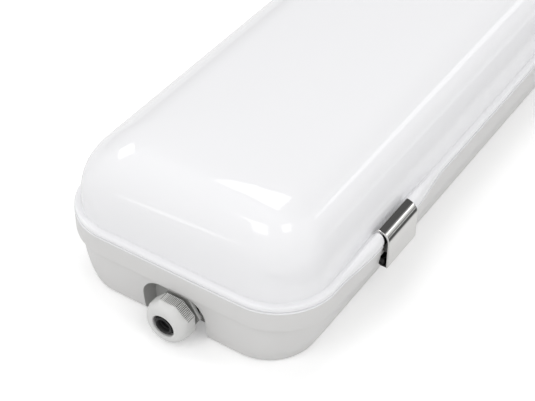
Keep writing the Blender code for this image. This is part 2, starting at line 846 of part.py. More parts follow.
def make_screw(name, x, y, head_low, finish):
    """A screw whose head rests at a height and whose shank points down."""
    shank_low = head_low - screw_length
    profile = [
        (screw_radius, shank_low),
        (screw_radius, head_low),
        (screw_head_radius, head_low),
        (screw_head_radius, head_low + screw_head_height * screw_head_shares[0]),
        (screw_head_radius * screw_head_shares[1], head_low + screw_head_height),
    ]
    add(name, round_mesh(name, profile), finish, (x, y, 0), smooth=True)


def make_boards(finish, steel):
    low = tray_top + fit_gap
    high = low + board_thickness
    for number, centre in enumerate(board_centres(), 1):
        reach = board_length / 2
        mesh = box_mesh("board", (centre - reach, -board_width / 2, low), (centre + reach, board_width / 2, high))
        board = add(f"led_board_{number}", mesh, finish)
        own = board_screw_places()[2 * number - 2:2 * number]
        tool = helper(f"board_holes_{number}", holes_mesh(own, low - cut_overrun, high + cut_overrun))
        combine(board, tool, "DIFFERENCE")
    for number, (x, y) in enumerate(board_screw_places(), 1):
        make_screw(f"board_screw_{number}", x, y, high + fit_gap, steel)


def make_driver(finish, steel):
    """The driver's case with a tab at each end, hung under the tray."""
    top = tray_underside - fit_gap
    low = top - driver_height
    tab_low = top - driver_tab_thickness
    half = driver_length / 2
    outer = half + driver_tab
    outline = [
        (-outer, top), (-outer, tab_low), (-half, tab_low), (-half, low),
        (half, low), (half, tab_low), (outer, tab_low), (outer, top),
    ]
    sides = [driver_side + side * driver_width / 2 for side in (-1, 1)]
    rings = [[(driver_place + x, y, z) for x, z in outline] for y in sides]
    driver = add("led_driver", ring_mesh("led_driver", rings), finish)
    tool = helper("driver_holes", holes_mesh(driver_screw_places(), tab_low - cut_overrun, top + cut_overrun))
    combine(driver, tool, "DIFFERENCE")
    for number, (x, y) in enumerate(driver_screw_places(), 1):
        make_screw(f"driver_screw_{number}", x, y, tray_top + fit_gap, steel)


def make_terminal(finish, steel):
    x, y = terminal_place()
    top = tray_underside - fit_gap
    low = top - terminal_height
    reach = terminal_length / 2
    side = terminal_width / 2
    block = add("terminal_block", box_mesh("terminal", (x - reach, y - side, low), (x + reach, y + side, top)), finish)
    hole = holes_mesh([(x, y)], tray_top - screw_length - fit_gap, top + cut_overrun)
    combine(block, helper("terminal_hole", hole), "DIFFERENCE")
    make_screw("terminal_screw", x, y, tray_top + fit_gap, steel)


def make_earth(steel, brass):
    """The earth screw through the tray and the nut that clamps the earth lead under it."""
    x, y = earth_place()
    make_screw("earth_screw", x, y, tray_top + fit_gap, steel)
    high = tray_underside - fit_gap
    low = high - earth_nut_height
    bore = screw_radius + fit_gap
    rings = []
    outer = earth_nut_across / 2
    for radius, z, flats in ((bore, low, 0), (outer, low, 6), (outer, high, 6), (bore, high, 0)):
        ring = []
        for k in range(round_sides):
            angle = 2 * math.pi * k / round_sides
            reach = radius * (flat_factor(angle, flats) if flats else 1)
            ring.append((reach * math.cos(angle), reach * math.sin(angle), z))
        rings.append(ring)
    add("earth_nut", ring_mesh("earth_nut", rings, closed=True), brass, (x, y, 0), smooth=True)


def lead_hole_place():
    return (driver_place + driver_length / 2 + driver_tab + lead_hole_distance, driver_side)


def rounded_path(points):
    """The path through the points with its corners cut off, twice over. Its ends stay where they are."""
    path = [Vector(point) for point in points]
    for _ in range(2):
        inner = []
        for first, second in zip(path, path[1:]):
            inner += [first.lerp(second, corner_cut_share), second.lerp(first, corner_cut_share)]
        path = [path[0]] + inner[1:-1] + [path[-1]]
    return path


def tube(name, points, finish):
    """A lead as a tube along a rounded path."""
    curve = bpy.data.curves.new(name, "CURVE")
    curve.dimensions = "3D"
    curve.bevel_depth = lead_radius
    curve.bevel_resolution = 1
    curve.use_fill_caps = True
    path = rounded_path(points)
    spline = curve.splines.new("POLY")
    spline.points.add(len(path) - 1)
    for spot, point in zip(path, spline.points):
        point.co = (*spot, 1.0)
    piece = bpy.data.objects.new(name, curve)
    bpy.context.scene.collection.objects.link(piece)
    curve.materials.append(finish)
    return piece


def make_leads(finishes):
    """Line and neutral to the driver, earth to its nut, and the driver's pair to the board beside it."""
    top = tray_underside - fit_gap
    x, y = terminal_place()
    start = x + terminal_length / 2 + fit_gap
    end = driver_place - driver_length / 2 - fit_gap
    height = top - (terminal_height + lead_drop) / 2
    for name, side, finish in (("line_lead", 1, finishes[0]), ("neutral_lead", -1, finishes[1])):
        at = y + side * lead_pitch / 2
        far = driver_side + side * lead_pitch / 2
        tube(name, [
            (start, at, height),
            (start + lead_drop, at, height),
            (start + 3 * lead_drop, at, height - lead_drop / 2),
            ((start + end) / 2, (at + far) / 2, height - lead_drop),
            (end - driver_tab - 3 * lead_drop, far, height - lead_drop / 2),
            (end - driver_tab, far, height),
            (end, far, height),
        ], finish)
    ex, ey = earth_place()
    side = y + terminal_width / 2 - lead_radius
    reach = ey + earth_nut_across / 2 + fit_gap + lead_radius
    nut_middle = top - earth_nut_height / 2
    tube("earth_lead", [
        (start, side, height),
        (start + lead_drop / 2, side, height),
        ((start + ex) / 2, (side + reach) / 2 + lead_bend, (height + nut_middle) / 2),
        (ex - lead_drop / 2, reach, nut_middle),
        (ex + lead_bend, reach, nut_middle),
    ], finishes[2])
    out = driver_place + driver_length / 2 + fit_gap
    hole_x, _ = lead_hole_place()
    board_top = tray_top + 2 * fit_gap + board_thickness + lead_radius
    for name, side, finish in (("driver_lead_plus", 1, finishes[3]), ("driver_lead_minus", -1, finishes[4])):
        at = driver_side + side * lead_pitch / 3
        rise_x = hole_x + side * lead_pitch / 3
        tube(name, [
            (out, at, height),
            (out + driver_tab, at, height),
            (rise_x - lead_drop, at, height + lead_bend),
            (rise_x, at, height + lead_drop),
            (rise_x, at, tray_top),
            (rise_x, at - lead_reach / 2, board_top + lead_bend),
            (rise_x, at - 2 * lead_reach, board_top + lead_bend),
            (rise_x, board_width / 2 - lead_reach, board_top),
        ], finish)


def main():
    for old in list(bpy.data.objects):
        bpy.data.objects.remove(old)
    grey = material("housing_grey", (0.66, 0.66, 0.65), 0.42)
    opal = material("opal_diffuser", (0.86, 0.87, 0.89), 0.12)
    foam = material("gasket_foam", (0.30, 0.30, 0.31), 0.9)
    stainless = material("stainless", (0.62, 0.61, 0.58), 0.18, 1.0)
    pin_steel = material("pin_steel", (0.55, 0.55, 0.54), 0.3, 1.0)
    gland_grey = material("gland_grey", (0.68, 0.68, 0.67), 0.38)
    rubber = material("black_rubber", (0.012, 0.012, 0.012), 0.7)
    tray_white = material("tray_white", (0.85, 0.85, 0.84), 0.4)
    board_white = material("board_white", (0.82, 0.84, 0.82), 0.45)
    driver_white = material("driver_white", (0.78, 0.78, 0.78), 0.5)
    zinc = material("zinc_screw", (0.60, 0.60, 0.62), 0.3, 1.0)
    brass = material("earth_brass", (0.66, 0.50, 0.24), 0.3, 1.0)
    red = material("lead_red", (0.55, 0.03, 0.03), 0.5)
    black = material("lead_black", (0.02, 0.02, 0.02), 0.5)
    white = material("lead_white", (0.75, 0.75, 0.75), 0.5)
    green = material("lead_green", (0.05, 0.35, 0.08), 0.5)

    make_housing(grey)
    make_gasket(foam)
    make_diffuser(opal)
    make_latches(stainless, pin_steel)

    near = entry_empty("gland_entry", 0.0)
    far = entry_empty("plug_entry", math.pi)
    make_gland_body(gland_grey, near)
    make_gland_nut(gland_grey, near)
    make_gland_insert(rubber, gland_grey, near)
    make_washer("gland_washer", rubber, near)
    make_locknut("gland_locknut", gland_grey, near)
    make_plug(gland_grey, far)
    make_washer("plug_washer", rubber, far)
    make_locknut("plug_locknut", gland_grey, far)

    make_tray(tray_white)
    for number, (x, y) in enumerate(post_places(), 1):
        make_screw(f"tray_screw_{number}", x, y, tray_top + fit_gap, zinc)
    make_boards(board_white, zinc)
    make_driver(driver_white, zinc)
    make_terminal(driver_white, zinc)
    make_earth(zinc, brass)
    make_leads((black, white, green, red, black))


main()
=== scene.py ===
"""Vapor tight light fixture of the four-foot class, lying on its back on a white studio floor.

Lengths are in metres. +X runs along the fixture, with the cable gland at the -X end, and +Z runs from the
back to the diffuser.
"""
import math

import bmesh
import bpy
from mathutils import Matrix, Vector


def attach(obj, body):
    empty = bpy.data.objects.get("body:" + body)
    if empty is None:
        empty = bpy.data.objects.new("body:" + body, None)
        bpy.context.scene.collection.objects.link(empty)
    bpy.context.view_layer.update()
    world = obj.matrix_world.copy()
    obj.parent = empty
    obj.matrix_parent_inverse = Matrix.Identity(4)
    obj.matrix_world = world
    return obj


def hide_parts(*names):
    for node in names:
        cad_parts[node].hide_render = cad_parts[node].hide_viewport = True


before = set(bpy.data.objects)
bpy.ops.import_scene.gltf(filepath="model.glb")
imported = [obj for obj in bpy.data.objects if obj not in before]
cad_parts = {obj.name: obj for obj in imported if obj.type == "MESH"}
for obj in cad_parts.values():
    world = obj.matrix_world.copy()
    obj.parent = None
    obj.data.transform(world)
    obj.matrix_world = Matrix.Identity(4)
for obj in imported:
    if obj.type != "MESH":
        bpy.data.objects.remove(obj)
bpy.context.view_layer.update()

mm = 0.001

# Case
half_length = 0.615
half_width = 0.073
corner_radius = 0.032
crease_height = 0.0262
rim_height = 0.0375
lip_bottom = 0.0376
flange_top = 0.0383
flange_share = 0.85
lip_top = 0.0413
hump = 0.0032
band_hump_share = 0.72
band_foot_hump_share = 0.3
hump_flat = 0.036
hump_ramp = 0.034
bead_rise = 0.0038
seat_share = 0.5
lip_seat_side = 0.0715
band_seat_side = 0.0707
seat_half = 0.01415
seat_edge = 0.0003
seat_reach = 0.0080
seat_low = 0.0200
lip_seat_top = 0.0424
band_seat_top = 0.0500
latch_end_place = 0.53
latch_places = [-latch_end_place, -latch_end_place / 3, latch_end_place / 3, latch_end_place]

# Cuts, which reach past what they cut
cut_margin = 0.0010
cut_overrun = 0.0040

# Housing
housing_wall = 0.0025
foot_side_inset = 0.0091
foot_end_inset = 0.0036
foot_radius = 0.0025
body_side_inset = 0.0032
body_end_inset = 0.0020
body_curve_shares = [(0.0, 1.0), (0.12, 0.70), (0.36, 0.36), (0.70, 0.10), (1.0, 0.0)]
crease_fillet = 0.0006
ledge_rise = 0.0008
band_edge_radius = 0.0009
rim_edge_radius = 0.0004
groove_inset = 0.0034
groove_width = 0.0058
groove_depth = 0.0065
rib_inset = 0.0110
rib_drop = 0.0010
post_end_distance = 0.0800
post_side = 0.0460
post_low = 0.0012
post_top = 0.0329
post_radius = 0.0042
post_hole_radius = 0.0019
post_hole_depth = 0.0120
lug_half_width = 0.0068
lug_wall = 0.0009
lug_rise = 0.0016
lug_under_deg = 137.0
eye_pocket_radius = 0.00295

# Recess and entry
recess_width = 0.037
recess_height = 0.0236
recess_corner = 0.0115
recess_depth = 0.0120
recess_side_offset = 0.0008
recess_edge_radius = 0.0006
boss_radius = 0.0100
boss_face = -0.00595
bore_radius = 0.0083
entry_side = -0.0042
entry_height = 0.0128

# Diffuser
diffuser_wall = 0.0022
lip_groove = 0.0018
lip_groove_width = 0.0006
base_fillet = 0.0005
wall_inset = 0.0041
dome_wall_top = 0.04645
shoulder_radius = 0.0340
shoulder_turn_deg = 85.6
tongue_inset = 0.0054
tongue_width = 0.0018
tongue_low = 0.0354
dome_radius_share = 0.6
dome_radius_least = 0.0140
dome_radius_limit_share = 0.9
ridge_share = 0.985
lip_edge = 0.0002
flange_inset = 0.0005

# Latch
latch_width = 0.0275
latch_sheet = 0.0010
plate_inside = 0.0775
roll_radius = 0.0060
roll_crest = 0.04523
hook_lean_deg = 84.0
hook_flat = 0.0004
hook_tip = 0.0012
hook_tip_deg = 45.0
pivot_side = 0.0746
pivot_height = 0.0260
pin_radius = 0.0012
pin_gap = 0.00025
pin_chamfer = 0.0002
pin_short = 0.0002
eye_gap_half = 0.0078
eye_end_deg = -305.0
latch_foot_radius = 0.0012
latch_edge = 0.00018
eye_inset = 0.0008

# Gland, with places along its axis counted outwards from the end of the rim
thread_radius = 0.0080
thread_pitch = 0.0015
nut_in = 0.0003
nut_flat_end = 0.0056
rib_depth = 0.0006
rib_pitch = 0.000855
rib_half_span = 0.0047
rib_margin = 0.0003
ribbed_flats = (0, 1, 4, 5)
# Below this share of a rib's height a face takes the darker grey, as painted shade.
groove_share = 0.4
nut_flats = 8
nut_round_share = 1.03
nut_ease_share = 0.55
nut_out = 0.0112
nut_across = 0.0228
nut_face_radius = 0.0078
nut_hole_radius = 0.00615
thread_gap = 0.0003
thread_depth = 0.00055
thread_run_in = 0.0004
barrel_bore = 0.0056
flange_in = -0.00405
flange_out = -0.00185


half_turn = Matrix.Rotation(math.pi, 4, "Z")
entry = Matrix.Translation((-half_length, entry_side, entry_height))
far_entry = half_turn @ entry


# ---------------------------------------------------------------- mesh helpers

def shade(mesh, sharp_deg=38):
    """Smooth shading, with edges sharper than an angle left crisp."""
    mesh.shade_smooth()
    mesh.set_sharp_from_angle(angle=math.radians(sharp_deg))


def finish_mesh(name, shape, sharp_deg=38):
    """Turns a bmesh into a mesh with smooth shading and crisp edges."""
    bmesh.ops.remove_doubles(shape, verts=shape.verts, dist=1e-6)
    bmesh.ops.recalc_face_normals(shape, faces=shape.faces)
    mesh = bpy.data.meshes.new(name)
    shape.to_mesh(mesh)
    shape.free()
    shade(mesh, sharp_deg)
    return mesh


def skin(rings, closed=False):
    """A bmesh through rings of equal point count, capped at both ends or joined into a loop."""
    shape = bmesh.new()
    rows = [[shape.verts.new(point) for point in ring] for ring in rings]
    pairs = list(zip(rows, rows[1:]))
    if closed:
        pairs.append((rows[-1], rows[0]))
    for low, high in pairs:
        for i in range(len(low)):
            j = (i + 1) % len(low)
            shape.faces.new((low[i], low[j], high[j], high[i]))
    if not closed:
        shape.faces.new(rows[0])
        shape.faces.new(rows[-1])
    return shape


def skin_mesh(name, rings, closed=False, sharp_deg=38):
    return finish_mesh(name, skin(rings, closed), sharp_deg)


def new_object(name, mesh, matrix=None):
    made = bpy.data.objects.new(name, mesh)
    bpy.context.scene.collection.objects.link(made)
    if matrix is not None:
        made.matrix_world = matrix
    return made


def piece(name, mesh, finish, body, nodes=(), matrix=None):
    """A piece of the fixture that rides on a body and stands for CAD nodes."""
    made = new_object(name, mesh, matrix)
    if not mesh.materials:
        mesh.materials.append(finish)
    bpy.context.view_layer.update()
    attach(made, body)
    if nodes:
        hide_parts(*nodes)
    return made


def applied(base, tools, name):
    """The mesh of base after Boolean steps, each a (mesh, operation) pair."""
    work = new_object("work", base)
    used = [work]
    for mesh, operation in tools:
        tool = new_object("tool", mesh)
        used.append(tool)
        step = work.modifiers.new("step", "BOOLEAN")
        step.operation = operation
        step.solver = "EXACT"
        if base.materials:
            step.material_mode = "TRANSFER"
        step.object = tool
    bpy.context.view_layer.update()
    result = bpy.data.meshes.new_from_object(work.evaluated_get(bpy.context.evaluated_depsgraph_get()))
    result.name = name
    for item in used:
        bpy.data.objects.remove(item)
    return result


def merged(meshes):
    shape = bmesh.new()
    for mesh in meshes:
        shape.from_mesh(mesh)
    mesh = bpy.data.meshes.new("merged")
    shape.to_mesh(mesh)
    shape.free()
    return mesh


def soften(mesh, picks, width, segments, sharp_deg):
    """Rounds the edges that picks chooses, of those between two faces."""
    shape = bmesh.new()
    shape.from_mesh(mesh)
    chosen = [edge for edge in shape.edges if len(edge.link_faces) == 2 and picks(edge)]
    bmesh.ops.bevel(
        shape, geom=chosen, offset=width, offset_type="OFFSET", segments=segments, profile=0.5,
        affect="EDGES", clamp_overlap=True,
    )
    shape.to_mesh(mesh)
    shape.free()
    shade(mesh, sharp_deg)


def finish_faces(mesh, finish, other, picks):
    """Gives a mesh its finish, and another one to the faces whose centres picks chooses."""
    mesh.materials.append(finish)
    mesh.materials.append(other)
    for face in mesh.polygons:
        face.material_index = int(picks(face.center))


def half_turned(mesh):
    other = mesh.copy()
    other.transform(half_turn)
    return other


def both_ends(meshes):
    return meshes + [half_turned(mesh) for mesh in meshes]


def arc(cx, cy, radius, start_deg, end_deg, steps):
    """Points on an arc, from a start to an end angle."""
    points = []
    for k in range(steps + 1):
        angle = math.radians(start_deg + (end_deg - start_deg) * k / steps)
        points.append((cx + radius * math.cos(angle), cy + radius * math.sin(angle)))
    return points


def circle(radius, sides):
    return arc(0, 0, radius, 0, 360 - 360 / sides, sides - 1)


def smoothstep(t):
    t = min(max(t, 0.0), 1.0)
    return t * t * (3 - 2 * t)


def block(outline, x0, x1):
    """A bar between two places along X, with an outline of (y, z) points."""
    return skin_mesh("block", [[(x, y, z) for y, z in outline] for x in (x0, x1)])


def rod(radius, x0, x1, y, z):
    return block([(y + u, z + v) for u, v in circle(radius, 24)], x0, x1)


def post(x, y, radius, low, high):
    return skin_mesh("post", [[(x + u, y + v, z) for u, v in circle(radius, 24)] for z in (low, high)])


def from_flat(angle, flats):
    """An angle as counted from the middle of the flat it falls on."""
    half = math.pi / flats
    return (angle - math.pi / 2 + half) % (2 * half) - half


def rows_of(*points):
    """Rows of a round profile, for turned."""
    return [(place, radius, "round") for place, radius in points]


def turned(profile, sides=48, flats=0, closed=False, matrix=None, name="turned"):
    """A solid about local -X from (place, radius, kind) rows, with a polygon where kind is flat."""
    rings = []
    for place, radius, kind in profile:
        ring = []
        for k in range(sides):
            angle = 2 * math.pi * k / sides
            reach = radius
            if kind == "flat":
                reach = radius / math.cos(from_flat(angle, flats))
            ring.append((-place, reach * math.cos(angle), reach * math.sin(angle)))
        rings.append(ring)
    mesh = skin_mesh(name, rings, closed)
    if matrix:
        mesh.transform(matrix)
    return mesh


def rounded_bar(place_in, place_out, radius, kind, edge):
    """Rows of a turned or polygonal bar whose two outer edges are rounded."""
    rows = []
    for across, out in arc(0, 0, edge, 0, 90, 3):
        rows.append((place_in + edge - across, radius - edge + out, kind))
    return rows + [(place_in + place_out - place, reach, kind) for place, reach, _ in reversed(rows)]


# ---------------------------------------------------------------- plan of the case

corner_steps = 18
ramp_steps = 8


def side_stations():
    """(place along the side, share of the swelling), from -X to +X."""
    stations = []
    for place in latch_places:
        left = place - hump_flat / 2 - hump_ramp
        right = place + hump_flat / 2
        steps = [k / ramp_steps for k in range(ramp_steps + 1)]
        stations += [(left + hump_ramp * t, smoothstep(t)) for t in steps]
        stations += [(place - seat_half - seat_edge, 1), (place - seat_half, seat_share)]
        stations += [(place + seat_half, seat_share), (place + seat_half + seat_edge, 1)]
        stations += [(right + hump_ramp * t, 1 - smoothstep(t)) for t in steps]
    return stations


def plan(side_inset, end_inset, radius, swell, height, rise=0.0):
    """One rounded rectangle as a ring of points, standing out by swell and up by rise at each latch."""
    a = half_length - end_inset
    b = half_width - side_inset
    stretch = (a - radius) / (half_length - corner_radius)
    side = [(x * stretch, b + swell * share, height + rise * share) for x, share in side_stations()]
    corner = [(x, y, height) for x, y in arc(a - radius, b - radius, radius, 0, 90, corner_steps)]
    half = corner + list(reversed(side)) + [(-x, y, z) for x, y, z in reversed(corner)]
    return half + [(-x, -y, z) for x, y, z in half]


def rim_ring(side_inset, height, swell_share=0.0, end_inset=None, rise_share=0.0):
    end = side_inset if end_inset is None else end_inset
    radius = corner_radius - (side_inset + end) / 2
    return plan(side_inset, end, radius, hump * swell_share, height, bead_rise * rise_share)


def dome_ring(inset, height):
    radius = max(corner_radius - wall_inset - dome_radius_share * (inset - wall_inset), dome_radius_least)
    return plan(inset, inset, min(radius, (half_width - inset) * dome_radius_limit_share), 0, height)


# ---------------------------------------------------------------- diffuser

def dome_profile(wall, steps=26, crown_steps=8):
    """(inset, height) from the foot of the dome's wall to its ridge, drawn in by a wall thickness."""
    radius = shoulder_radius - wall
    centre = wall_inset + shoulder_radius
    points = arc(centre, dome_wall_top, radius, 180, 180 - shoulder_turn_deg, steps)
    end_inset, end_height = points[-1]
    reach = half_width - end_inset
    slope = 1 / math.tan(math.radians(shoulder_turn_deg))
    for k in range(1, crown_steps + 1):
        t = k / crown_steps
        across = reach * t * ridge_share
        points.append((end_inset + across, end_height + slope * (across - across ** 2 / (2 * reach))))
    return points


def bead_section():
    """The lip from the dome's foot to its side, and the round bead that it becomes at each latch, as rows of
    (inset, height, share of the swelling, share of the rise)."""
    rows = [(wall_inset - 0.2 * mm, lip_top + 1.3 * mm, 0.0, 0.2)]
    for k in range(4):
        angle = math.radians(30 * k)
        inset = wall_inset - 0.3 * mm - base_fillet * (1 - math.cos(angle))
        rows.append((inset, lip_top + base_fillet * (1 - math.sin(angle)), 0.03 * k, 0.35 + 0.04 * k))
    flat = [(2.75, 0.0, 0.16, 0.62), (2.3, 0.0, 0.26, 0.86), (1.9, 0.0, 0.37, 0.97), (1.55, 0.0, 0.48, 1.0)]
    edge = [(1.25, 0.04, 0.60, 0.96), (0.95, 0.16, 0.72, 0.87), (0.68, 0.35, 0.83, 0.73), (0.45, 0.62, 0.92, 0.54)]
    side = [(0.30, 0.94, 0.98, 0.34), (0.28, 1.30, 1.0, 0.14), (0.30, 1.8, 1.0, 0.0), (0.35, 2.3, 0.95, 0.0)]
    return rows + [(inset * mm, lip_top - drop * mm, swell, rise) for inset, drop, swell, rise in flat + edge + side]


def latch_seats(wall, high, seat_shade_lining):
    """Blocks that clear the room behind the latches up to a height, and line the faces that they cut in black as
    painted shade.
    """
    seats = []
    for place in latch_places:
        for side in (-1, 1):
            ys = sorted((side * wall, side * (half_width + seat_reach)))
            outline = [(ys[0], seat_low), (ys[1], seat_low), (ys[1], high), (ys[0], high)]
            seats.append(block(outline, place - seat_half, place + seat_half))
    blocks = merged(seats)
    blocks.materials.append(seat_shade_lining)
    return blocks


def make_diffuser(finish, seat_shade_lining):
    rings = [dome_ring(inset, height) for inset, height in reversed(dome_profile(0))]
    rings += [rim_ring(inset, height, swell, None, rise) for inset, height, swell, rise in bead_section()]
    rings += [
        rim_ring(flange_inset, flange_top + lip_groove_width, flange_share),
        rim_ring(lip_groove, flange_top + lip_groove_width, flange_share),
        rim_ring(lip_groove, flange_top, flange_share),
        rim_ring(lip_edge, flange_top, flange_share),
        rim_ring(0.0, flange_top - 0.15 * mm, flange_share),
        rim_ring(0.0, lip_bottom + 0.1 * mm, flange_share),
        rim_ring(lip_edge, lip_bottom, flange_share),
        rim_ring(tongue_inset, lip_bottom),
        rim_ring(tongue_inset, tongue_low),
        rim_ring(tongue_inset + tongue_width, tongue_low),
        rim_ring(tongue_inset + tongue_width, lip_top),
    ]
    rings += [dome_ring(inset, height) for inset, height in dome_profile(diffuser_wall, 12, 4)]
    shell = skin_mesh("diffuser_shell", rings)
    shell.materials.append(finish)
    # The seats cut under the latches are lined black, as painted shade.
    mesh = applied(shell, [(latch_seats(lip_seat_side, lip_seat_top, seat_shade_lining), "DIFFERENCE")], "diffuser_shell")
    shade(mesh, 50)
    return piece("diffuser_shell", mesh, finish, "case", ["diffuser"])


# ---------------------------------------------------------------- housing

def body_inset(share):
    """The lower body's draw-in at a share of its height, read smoothly between the set shares."""
    points = body_curve_shares
    for i in range(len(points) - 1):
        (h0, v0), (h1, v1) = points[i], points[i + 1]
        if share <= h1:
            before = points[max(i - 1, 0)]
            after = points[min(i + 2, len(points) - 1)]
            m0 = (v1 - before[1]) / (h1 - before[0]) * (h1 - h0)
            m1 = (after[1] - v0) / (after[0] - h0) * (h1 - h0)
            t = (share - h0) / (h1 - h0)
            return (
                v0 * (2 * t ** 3 - 3 * t ** 2 + 1) + m0 * (t ** 3 - 2 * t ** 2 + t)
                + v1 * (3 * t ** 2 - 2 * t ** 3) + m1 * (t ** 3 - t ** 2)
            )
    return points[-1][1]


def body_row(share, offset=0.0):
    draw = body_inset(share)
    height = foot_radius + (crease_height - foot_radius) * share
    side = body_side_inset + (foot_side_inset - body_side_inset) * draw
    end = body_end_inset + (foot_end_inset - body_end_inset) * draw
    return rim_ring(side + offset, height, 0, end + offset)


def housing_outside():
    """The housing as a solid, filled up to its gasket groove."""
    rings = []
    for across, height in arc(foot_radius, foot_radius, foot_radius, -90, -180, 5):
        rings.append(rim_ring(foot_side_inset + across, height, 0, foot_end_inset + across))
    rings[0] = rim_ring(foot_side_inset + foot_radius, 0, 0, foot_end_inset + foot_radius)
    rings += [body_row(k / 14) for k in range(1, 15)]
    ledge = crease_height + ledge_rise
    for k in range(5):
        angle = math.radians(90 * k / 4)
        out = crease_fillet * (1 - math.cos(angle))
        height = ledge - crease_fillet * (1 - math.sin(angle))
        rings.append(rim_ring(body_side_inset - out, height, 0, body_end_inset - out))
    for inset, height in arc(band_edge_radius, crease_height + band_edge_radius, band_edge_radius, -90, -180, 5):
        rings.append(rim_ring(inset, height, band_foot_hump_share))
    for inset, height in arc(rim_edge_radius, rim_height - rim_edge_radius, rim_edge_radius, 180, 90, 5):
        rings.append(rim_ring(inset, height, band_hump_share))
    rings += [
        rim_ring(groove_inset, rim_height),
        rim_ring(groove_inset, rim_height - groove_depth),
        rim_ring(groove_inset + groove_width, rim_height - groove_depth),
        rim_ring(groove_inset + groove_width, rim_height - rib_drop),
        rim_ring(rib_inset, rim_height - rib_drop),
    ]
    return skin_mesh("housing_outside", rings)


def housing_cavity():
    rings = [
        rim_ring(rib_inset, rim_height + cut_overrun),
        rim_ring(rib_inset, rim_height - groove_depth - housing_wall),
    ]
    rings += [body_row(k / 6, housing_wall) for k in range(5, 0, -1)]
    rings.append(rim_ring(foot_side_inset + foot_radius, housing_wall, 0, foot_end_inset + foot_radius))
    return skin_mesh("housing_cavity", rings)


def recess_outline(grow, low, steps=14):
    half = recess_width / 2 + grow
    radius = recess_corner + grow
    quarter = arc(half - radius, recess_height + grow - radius, radius, 0, 90, steps)
    points = [(half, low)] + quarter + [(-y, z) for y, z in reversed(quarter)] + [(-half, low)]
    return [(y - recess_side_offset, z) for y, z in points]


def on_recess_edge(edge):
    """Whether an edge is part of the outer edge of a recess."""
    middle = (edge.verts[0].co + edge.verts[1].co) / 2
    near_end = half_length - abs(middle.x) <= 5 * mm
    near_arch = 0.05 * mm <= middle.z <= recess_height + 0.5 * mm and abs(middle.y) <= recess_width / 2 + 2 * mm
    return near_end and near_arch and edge.calc_face_angle(0) > math.radians(50)


def make_housing(finish, painted_shade_finish, seat_shade_lining):
    pocket_end = recess_depth + housing_wall - half_length
    pocket = block(recess_outline(housing_wall, -cut_overrun), cut_margin - half_length, pocket_end)
    recess = block(recess_outline(0, -cut_overrun), -cut_overrun - half_length, recess_depth - half_length)
    recesses = merged(both_ends([recess]))
    # The recess faces take the darker grey, as painted shade.
    recesses.materials.append(painted_shade_finish)
    corners = [(i * (half_length - post_end_distance), j * post_side) for i in (-1, 1) for j in (-1, 1)]
    posts = [post(x, y, post_radius, post_low, post_top) for x, y in corners]
    holes = [post(x, y, post_hole_radius, post_top - post_hole_depth, rim_height) for x, y in corners]
    cavity = applied(housing_cavity(), [(merged(posts + both_ends([pocket])), "DIFFERENCE")], "cavity")
    lugs, pockets, pin_holes = [], [], []
    nose = pin_radius + pin_gap + lug_wall
    root = half_width - foot_side_inset
    nose_arc = arc(pivot_side, pivot_height, nose, -lug_under_deg, 90, 16)
    outline = [(root, nose_arc[0][1])] + nose_arc
    outline += [(pivot_side, crease_height + lug_rise), (root, crease_height + lug_rise)]
    hole_radius = pin_radius + pin_gap
    for place in latch_places:
        lugs.append(block(outline, place - lug_half_width, place + lug_half_width))
        pin_holes.append(rod(hole_radius, place - eye_gap_half, place + eye_gap_half, pivot_side, pivot_height))
        for side in (-1, 1):
            ends = sorted((place + side * lug_half_width, place + side * (latch_width / 2 + cut_margin)))
            pockets.append(rod(eye_pocket_radius, *ends, pivot_side, pivot_height))
    boss = turned(rows_of((boss_face, boss_radius), (-recess_depth - cut_margin, boss_radius)), matrix=entry)
    bore_end = -recess_depth - housing_wall - cut_overrun
    bore = turned(rows_of((boss_face + cut_overrun, bore_radius), (bore_end, bore_radius)), matrix=entry)
    outside = housing_outside()
    outside.materials.append(finish)
    mesh = applied(outside, [
        (cavity, "DIFFERENCE"),
        # The seats cut under the latches are lined black, as painted shade.
        (latch_seats(band_seat_side, band_seat_top, seat_shade_lining), "DIFFERENCE"),
        (merged(both_ends(lugs)), "UNION"),
        (merged(both_ends(pockets)), "DIFFERENCE"),
        (merged(both_ends(pin_holes) + holes), "DIFFERENCE"),
        (recesses, "DIFFERENCE"),
        (merged(both_ends([boss])), "UNION"),
        (merged(both_ends([bore])), "DIFFERENCE"),
    ], "housing_shell")
    soften(mesh, on_recess_edge, recess_edge_radius, 3, 38)
    return piece("housing_shell", mesh, finish, "case", ["housing"])


# ---------------------------------------------------------------- latches

def latch_line():
    """(outward, up) points of the strip's middle about the pin, hook tip first."""
    half = latch_sheet / 2
    plate = plate_inside + half - pivot_side
    centre = plate - roll_radius
    up = roll_crest + half - roll_radius - pivot_height
    roll = arc(centre, up, roll_radius, hook_lean_deg, 0, 30)
    lean, drop = math.radians(hook_lean_deg), math.radians(hook_tip_deg)
    bend = (roll[0][0] - hook_flat * math.sin(lean), roll[0][1] + hook_flat * math.cos(lean))
    points = [(bend[0] - hook_tip * math.cos(drop), bend[1] - hook_tip * math.sin(drop)), bend] + roll
    eye = pin_radius + pin_gap + half
    foot = latch_foot_radius
    points += arc(plate - foot, foot - eye, foot, 0, -90, 8)
    return points + arc(0, 0, eye, -90, eye_end_deg, 22)


def strip_outline(points, half):
    """The closed outline of a strip of even thickness along a line of points, with its end corners eased."""
    left, right = [], []
    for i, (u, v) in enumerate(points):
        before = points[max(i - 1, 0)]
        after = points[min(i + 1, len(points) - 1)]
        first = Vector((u - before[0], v - before[1]))
        second = Vector((after[0] - u, after[1] - v))
        first = first.normalized() if first.length else second.normalized()
        second = second.normalized() if second.length else first
        middle = (first + second).normalized()
        width = half / middle.dot(first)
        normal = Vector((-middle.y, middle.x))
        left.append((u + normal.x * width, v + normal.y * width))
        right.append((u - normal.x * width, v - normal.y * width))
    return left + list(reversed(right))


